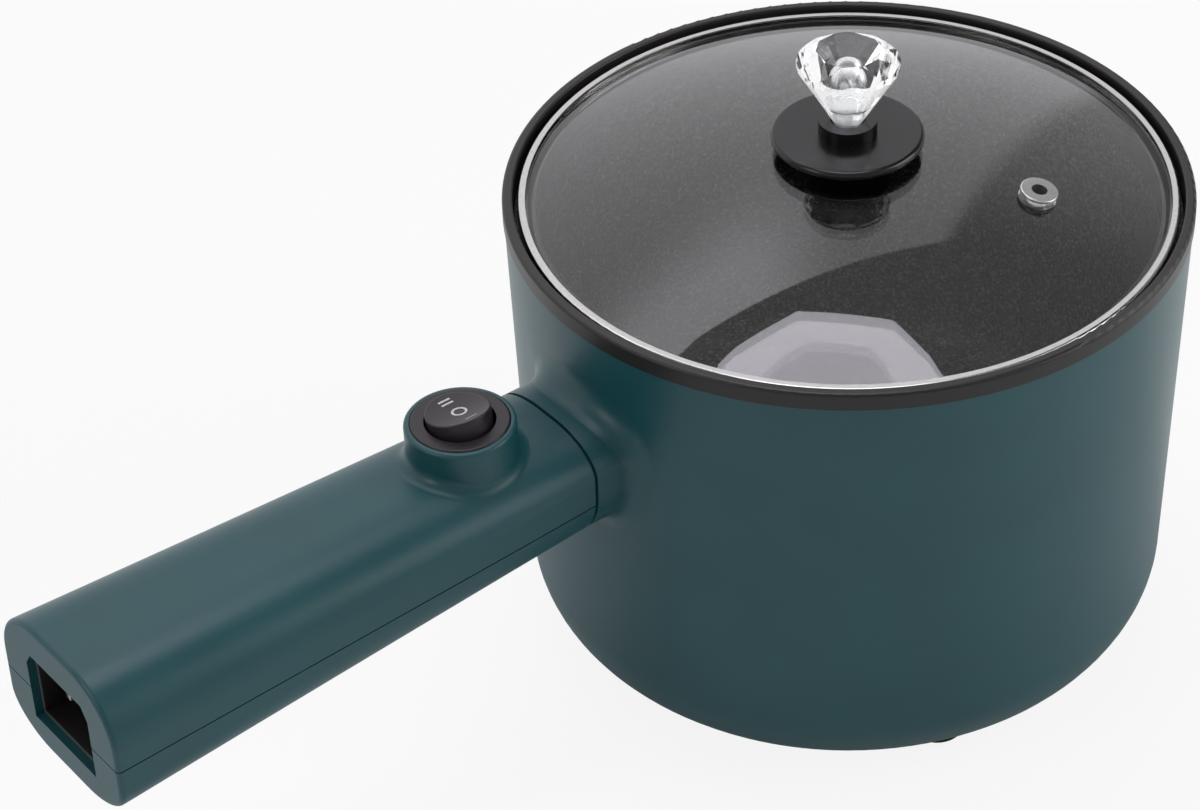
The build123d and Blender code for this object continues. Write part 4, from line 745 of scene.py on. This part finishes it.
class HOTPOT_OT_clear_grip(bpy.types.Operator):
    """Model the faceted clear grip with its moulded pocket"""

    bl_idname = "hotpot.clear_grip"
    bl_label = "Clear Grip"

    def execute(self, context):
        lid = context.scene.hotpot_lid
        low, high = crystal_low.z, crystal_high.z
        middle = Vector(((crystal_low.x + crystal_high.x) / 2, 0, 0))
        girdle_r = (crystal_high.x - crystal_low.x) / 2
        grip = add_disc(60, lid.foot_radius, (middle.x, 0, low))
        body = (
            (lid.foot_radius, low + GRIP_FOOT),
            (girdle_r, high - GIRDLE_DEPTH),
            (girdle_r, high),
        )
        raise_rings(lid.foot_radius, low, middle, body)
        turn_outwards()
        self.grind(lid, low, high, girdle_r, middle)
        drop_twins(grip)
        select_faces(
            grip, lambda centre, normal: centre.z < low + FOOT_SKIN and normal.z < -0.9
        )
        pocket_top = high - lid.pocket_depth
        self.hollow(lid, low, pocket_top, middle)
        turn_outwards()
        acrylic = clear_acrylic("clear_acrylic", lid.pocket_radius, pocket_top)
        finish_piece(grip, "clear_grip", acrylic, "lid", smooth=8)
        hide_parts("knob_crystal")
        return {"FINISHED"}

    def grind(self, lid, low, high, girdle_r, middle):
        """Grinds flats round the grip: girdle, cone, crown, and fine ones between them."""
        foot_top, girdle_low, girdle_top = low + GRIP_FOOT, high - GIRDLE_DEPTH, high - CROWN_DEPTH
        flat_r = girdle_r * math.cos(math.pi / lid.facets)
        fine_r = girdle_r * math.cos(math.pi / lid.facets / 2) * FINE_GIRDLE
        # turn by a share of a facet, then a lower and an upper point of the flat as radius, height
        flats = (
            (0.0, (flat_r, girdle_low), (flat_r, girdle_top)),
            (0.0, (lid.foot_radius, foot_top), (flat_r, girdle_low + CONE_LAP)),
            (0.5, (lid.foot_radius, foot_top), (fine_r, girdle_low + FINE_LAP)),
            (0.0, (flat_r, girdle_top), (lid.table_radius, high)),
            (0.5, (fine_r, girdle_top - FINE_LAP), (lid.table_radius * FINE_TABLE, high)),
        )
        for turn, first, second in flats:
            for number in range(lid.facets):
                angle = 2 * math.pi * (number + 0.5 + turn) / lid.facets
                out = Vector((math.cos(angle), math.sin(angle), 0))
                rise = Vector((second[0] - first[0], second[1] - first[1]))
                bpy.ops.mesh.select_all(action="SELECT")
                bpy.ops.mesh.bisect(
                    plane_co=middle + out * first[0] + Vector((0, 0, first[1])),
                    plane_no=out * rise.y - Vector((0, 0, rise.x)),
                    use_fill=True, clear_outer=True, threshold=ON_CUT,
                )
        bpy.ops.mesh.select_all(action="SELECT")
        bpy.ops.mesh.remove_doubles(threshold=SAME_POINT)

    def hollow(self, lid, low, pocket_top, middle):
        """Sinks the screw's bore and the round pocket into the selected foot."""
        shrink = lid.bore_radius / lid.foot_radius
        bpy.ops.mesh.extrude_region_move(TRANSFORM_OT_translate={"value": (0, 0, 0)})
        bpy.ops.transform.resize(value=(shrink, shrink, 1), center_override=middle)
        pocket = [
            (lid.bore_radius, low + BORE_TOP),
            (lid.pocket_radius * POCKET_TAPER, low + POCKET_FLOOR),
        ]
        for degrees in range(0, DOME_END, DOME_STEP):
            bend = math.radians(degrees)
            sunk = lid.pocket_dome * (1 - math.sin(bend))
            pocket.append((lid.pocket_radius * math.cos(bend), pocket_top - sunk))
        raise_rings(lid.bore_radius, low, middle, pocket)


class HOTPOT_OT_switch_marks(bpy.types.Operator):
    """Print the two bars, the ring and the single bar on the rocker"""

    bl_idname = "hotpot.switch_marks"
    bl_label = "Switch Marks"

    def execute(self, context):
        switch = context.scene.hotpot_switch
        ink = printed_ink("mark_ink", switch.mark_color)
        worn = printed_ink("worn_mark_ink", shade(switch.mark_color, WORN_INK))
        reach = switch.mark_spread
        step = switch.mark_width + switch.bar_gap
        self.bar(switch, "mark_two_first", reach - step / 2, ink)
        self.bar(switch, "mark_two_second", reach + step / 2, ink)
        self.bar(switch, "mark_one", -SINGLE_BAR * reach, worn)
        self.ring(switch, "mark_ring", ink)
        return {"FINISHED"}

    def bar(self, switch, name, offset, ink):
        """A bar with rounded corners, so far from the rocker's middle."""
        deselect()
        bpy.ops.mesh.primitive_plane_add(size=1, location=(rocker_pivot[0], offset, 0))
        bar = bpy.context.object
        bar.scale = (switch.mark_length, switch.mark_width, 1)
        edit_all()
        corner = switch.mark_width * BAR_CORNER
        bpy.ops.mesh.bevel(offset=corner, segments=3, affect="VERTICES")
        bpy.ops.mesh.subdivide(number_cuts=3)
        self.lay(bar, name, ink)

    def ring(self, switch, name, ink):
        """A ring in the rocker's middle."""
        ring = add_disc(48, switch.ring_radius, (rocker_pivot[0], 0, 0))
        bpy.ops.mesh.inset(thickness=switch.mark_width)
        bpy.ops.mesh.delete(type="FACE")
        self.lay(ring, name, ink)

    def lay(self, piece, name, ink):
        """Drops a flat mark on the rocker's top and gives it the ink's thickness."""
        select_only(piece)
        rocker = NODES["switch_rocker"]
        for vertex in piece.data.vertices:
            start = Vector((vertex.co.x, vertex.co.y, rocker_high.z + DROP_HEIGHT))
            hit, place, normal, face = rocker.ray_cast(start, Vector((0, 0, -1)))
            if not hit:
                raise RuntimeError("A mark lies beside the rocker")
            vertex.co = place + normal * INK_RISE
        thick = piece.modifiers.new("ink", "SOLIDIFY")
        thick.thickness = INK_RISE * 2
        thick.offset = 0
        bpy.ops.object.modifier_apply(modifier=thick.name)
        finish_piece(piece, name, ink, "rocker")


def turned(studio, direction):
    """A direction given as right, away and up, turned into the part's frame."""
    return Matrix.Rotation(-studio.azimuth, 3, "Z") @ Vector(direction)


class HOTPOT_OT_studio(bpy.types.Operator):
    """Set the camera, the floor, the softbox, the surround and the lamps"""

    bl_idname = "hotpot.studio"
    bl_label = "Studio"

    def execute(self, context):
        studio = context.scene.hotpot_studio
        self.camera(context, studio)
        self.floor(studio)
        self.softbox(studio)
        self.surround(context, studio)
        self.lamp(
            studio, "handle_softbox", studio.handle_lamp, size=0.3,
            offset=(-0.62, -0.42, 0.42), aim=(-0.12, -0.1, 0.0),
        )
        self.lamp(
            studio, "side_softbox", studio.side_lamp, size=0.7,
            offset=(0.95, -0.1, 0.45), aim=(0.08, 0.0, 0.0),
        )
        self.lamp(
            studio, "front_softbox", studio.front_lamp, size=0.9,
            offset=(-0.1, -1.3, 0.5), aim=(0.0, 0.0, 0.0),
        )
        return {"FINISHED"}

    def camera(self, context, studio):
        """The camera, from its angles and from where the rim's middle shows in its view."""
        focal = studio.focal_length / SENSOR_WIDTH * VIEW_WIDTH
        rise, roll, far = studio.elevation, studio.roll, studio.distance
        back = Vector((0, -math.cos(rise), math.sin(rise)))
        up = Vector((0, math.sin(rise), math.cos(rise)))
        right = Vector((1, 0, 0))
        across = right * math.cos(roll) + up * math.sin(roll)
        upward = up * math.cos(roll) - right * math.sin(roll)
        rim_right = (RIM_ACROSS - VIEW_WIDTH / 2) / focal * far
        rim_under = (RIM_DOWN - VIEW_HEIGHT / 2) / focal * far
        place = back * far - across * rim_right + upward * rim_under
        data = bpy.data.cameras.new("studio_camera")
        data.lens = studio.focal_length
        data.sensor_width = SENSOR_WIDTH
        data.clip_start = 0.01
        made = bpy.data.objects.new("studio_camera", data)
        context.scene.collection.objects.link(made)
        axes = Matrix([turned(studio, axis) for axis in (across, upward, back)]).transposed()
        rim_middle = Vector((POT_X, 0, RIM_TOP))
        shift = Matrix.Translation(turned(studio, place) + rim_middle)
        made.matrix_world = shift @ axes.to_4x4()
        context.scene.camera = made
        context.scene.view_settings.view_transform = "Standard"

    def floor(self, studio):
        """A wide white floor that keeps a faint shadow."""
        deselect()
        bpy.ops.mesh.primitive_plane_add(size=FLOOR_SIZE, location=(0, 0, 0))
        floor = bpy.context.object
        floor.name = "studio_floor"
        made, tree, output = bare_material("studio_floor_paint")
        paint = add_node(tree, "ShaderNodeBsdfDiffuse")
        paint.inputs["Color"].default_value = (*FLOOR_PAINT, 1)
        glow = add_node(tree, "ShaderNodeEmission")
        path = add_node(tree, "ShaderNodeLightPath")
        links = {0: object_space(tree)}
        away = add_node(tree, "ShaderNodeVectorMath", links, operation="DOT_PRODUCT")
        away.inputs[1].default_value = turned(studio, (0, 1, 0))
        behind = remap(tree, away.outputs["Value"], *FLOOR_BEHIND, kind="SMOOTHSTEP")
        mirrored = calculate(tree, "MULTIPLY", behind, path.outputs["Is Glossy Ray"])
        direct = calculate(
            tree, "MAXIMUM", path.outputs["Is Camera Ray"], seen_through(tree, path)
        )
        plain = calculate(tree, "MAXIMUM", direct, mirrored)
        share = calculate(tree, "MULTIPLY", plain, studio.floor_white)
        links = {"Fac": share, 1: paint.outputs["BSDF"], 2: glow.outputs["Emission"]}
        mix = add_node(tree, "ShaderNodeMixShader", links)
        tree.links.new(mix.outputs["Shader"], output.inputs["Surface"])
        floor.data.materials.append(made)

    def softbox(self, studio):
        """An eight-sided softbox over the lid, with a brighter band round its cloth."""
        above = Vector((POT_X, 0, RIM_TOP + SOFTBOX_RISE))
        middle = turned(studio, SOFTBOX_PLACE) + above
        box = add_disc(SOFTBOX_SIDES, SOFTBOX_RADIUS, middle, SOFTBOX_TURN - studio.azimuth)
        box.name = "overhead_softbox"
        bpy.ops.mesh.inset(thickness=SOFTBOX_BAND)
        bpy.ops.object.mode_set(mode="OBJECT")
        for name, share in (("softbox_band", BAND_SHARE), ("softbox_cloth", CLOTH_SHARE)):
            made, tree, output = bare_material(name)
            glow = add_node(tree, "ShaderNodeEmission", strength=studio.softbox * share)
            glow.inputs["Color"].default_value = (*SOFTBOX_LIGHT, 1)
            tree.links.new(glow.outputs["Emission"], output.inputs["Surface"])
            box.data.materials.append(made)
        for face in box.data.polygons:
            face.material_index = 1 if len(face.vertices) == SOFTBOX_SIDES else 0
        box.visible_camera = False

    def surround(self, context, studio):
        """The white board behind the table and the dark room, as light from the world."""
        world = bpy.data.worlds.new("studio_surround")
        context.scene.world = world
        world.use_nodes = True
        tree = world.node_tree
        tree.nodes.clear()
        output = tree.nodes.new("ShaderNodeOutputWorld")
        lights = add_node(tree, "ShaderNodeBackground", {"Strength": self.zones(tree, studio)})
        lights.inputs["Color"].default_value = (*ROOM_LIGHT, 1)
        white = add_node(tree, "ShaderNodeBackground")
        white.inputs["Color"].default_value = (*PLAIN_WHITE, 1)
        path = add_node(tree, "ShaderNodeLightPath")
        plain = calculate(tree, "MAXIMUM", path.outputs["Is Camera Ray"], seen_through(tree, path))
        links = {"Fac": plain, 1: lights.outputs["Background"], 2: white.outputs["Background"]}
        mix = add_node(tree, "ShaderNodeMixShader", links)
        tree.links.new(mix.outputs["Shader"], output.inputs["Surface"])

    def zones(self, tree, studio):
        """Strength of the light from a direction, added up over the surround's zones."""
        direction = add_node(tree, "ShaderNodeTexCoord").outputs["Generated"]
        facing = add_node(
            tree, "ShaderNodeVectorRotate", {"Vector": direction}, rotation_type="Z_AXIS",
            angle=studio.azimuth,
        )
        parts = add_node(tree, "ShaderNodeSeparateXYZ", {"Vector": facing.outputs["Vector"]})
        right, away, up = (parts.outputs[axis] for axis in "XYZ")

        def past(value, edge):
            """0 before the edge and 1 past it, smooth between."""
            return remap(tree, value, *edge, kind="SMOOTHSTEP")

        def before(value, edge):
            """1 before the edge and 0 past it."""
            return calculate(tree, "SUBTRACT", 1.0, past(value, edge))

        def both(first, second):
            """Where two zones overlap, or one at a strength."""
            return calculate(tree, "MULTIPLY", first, second)

        depth = calculate(tree, "MAXIMUM", away, LEAST_AWAY)
        across = calculate(tree, "DIVIDE", right, depth)
        height = calculate(tree, "DIVIDE", up, depth)
        slant = calculate(tree, "ADD", height, both(across, BOARD_SLOPE))
        behind = past(away, BEHIND_POT)
        board = both(behind, both(before(slant, BOARD_TOP), before(across, BOARD_END)))
        lit = both(board, both(past(slant, LIT_FROM), before(across, LIT_UNTIL)))
        wall = both(both(behind, past(across, BOARD_END)), before(height, WALL_TOP))
        side = both(past(right, RIGHT_END), before(up, SIDE_TOP))
        zones = (
            (board, studio.board),
            (lit, studio.lit_board),
            (wall, studio.right_wall),
            (before(away, BEHIND_CAMERA), studio.room),
            (side, studio.right_side),
            (past(up, CEILING_FROM), studio.ceiling),
        )
        total = 0.0
        for zone, strength in zones:
            total = calculate(tree, "ADD", total, both(zone, strength))
        return total

    def lamp(self, studio, name, power, size, offset, aim):
        """A soft square lamp, placed and aimed in the camera's directions from the pot's middle."""
        middle = Vector((POT_X, 0, RIM_TOP / 2))
        place = middle + turned(studio, offset)
        target = middle + turned(studio, aim)
        data = bpy.data.lights.new(name, "AREA")
        data.shape = "SQUARE"
        data.size = size
        data.energy = power
        made = bpy.data.objects.new(name, data)
        bpy.context.scene.collection.objects.link(made)
        made.location = place
        made.rotation_euler = (target - place).to_track_quat("-Z", "Y").to_euler()


class HOTPOT_PT_panel(bpy.types.Panel):
    """The hot pot's pieces, sizes and colours"""

    bl_idname = "HOTPOT_PT_panel"
    bl_label = "Electric Hot Pot"
    bl_space_type = "VIEW_3D"
    bl_region_type = "UI"
    bl_category = "Hot Pot"

    def draw(self, context):
        for operator in PIECES:
            self.layout.operator(operator.bl_idname)
        for name, group in GROUPS.items():
            box = self.layout.box()
            for key in group.__annotations__:
                box.prop(getattr(context.scene, name), key)


GROUPS = {
    "hotpot_shell": HotPotShell,
    "hotpot_lid": HotPotLid,
    "hotpot_switch": HotPotSwitch,
    "hotpot_studio": HotPotStudio,
}
PIECES = (
    HOTPOT_OT_studio,
    HOTPOT_OT_body_finishes,
    HOTPOT_OT_lid_finishes,
    HOTPOT_OT_switch_finishes,
    HOTPOT_OT_inner_finishes,
    HOTPOT_OT_clear_grip,
    HOTPOT_OT_switch_marks,
)


def register():
    """Registers the property groups, the operators and the panel."""
    for name, group in GROUPS.items():
        bpy.utils.register_class(group)
        setattr(bpy.types.Scene, name, PointerProperty(type=group))
    for operator in PIECES:
        bpy.utils.register_class(operator)
    bpy.utils.register_class(HOTPOT_PT_panel)


def unregister():
    """Undoes register."""
    bpy.utils.unregister_class(HOTPOT_PT_panel)
    for operator in reversed(PIECES):
        bpy.utils.unregister_class(operator)
    for name, group in GROUPS.items():
        delattr(bpy.types.Scene, name)
        bpy.utils.unregister_class(group)


def main():
    """Makes every piece in order."""
    register()
    bpy.ops.hotpot.studio()
    bpy.ops.hotpot.body_finishes()
    bpy.ops.hotpot.lid_finishes()
    bpy.ops.hotpot.switch_finishes()
    bpy.ops.hotpot.inner_finishes()
    bpy.ops.hotpot.clear_grip()
    bpy.ops.hotpot.switch_marks()


if __name__ == "__main__":
    main()
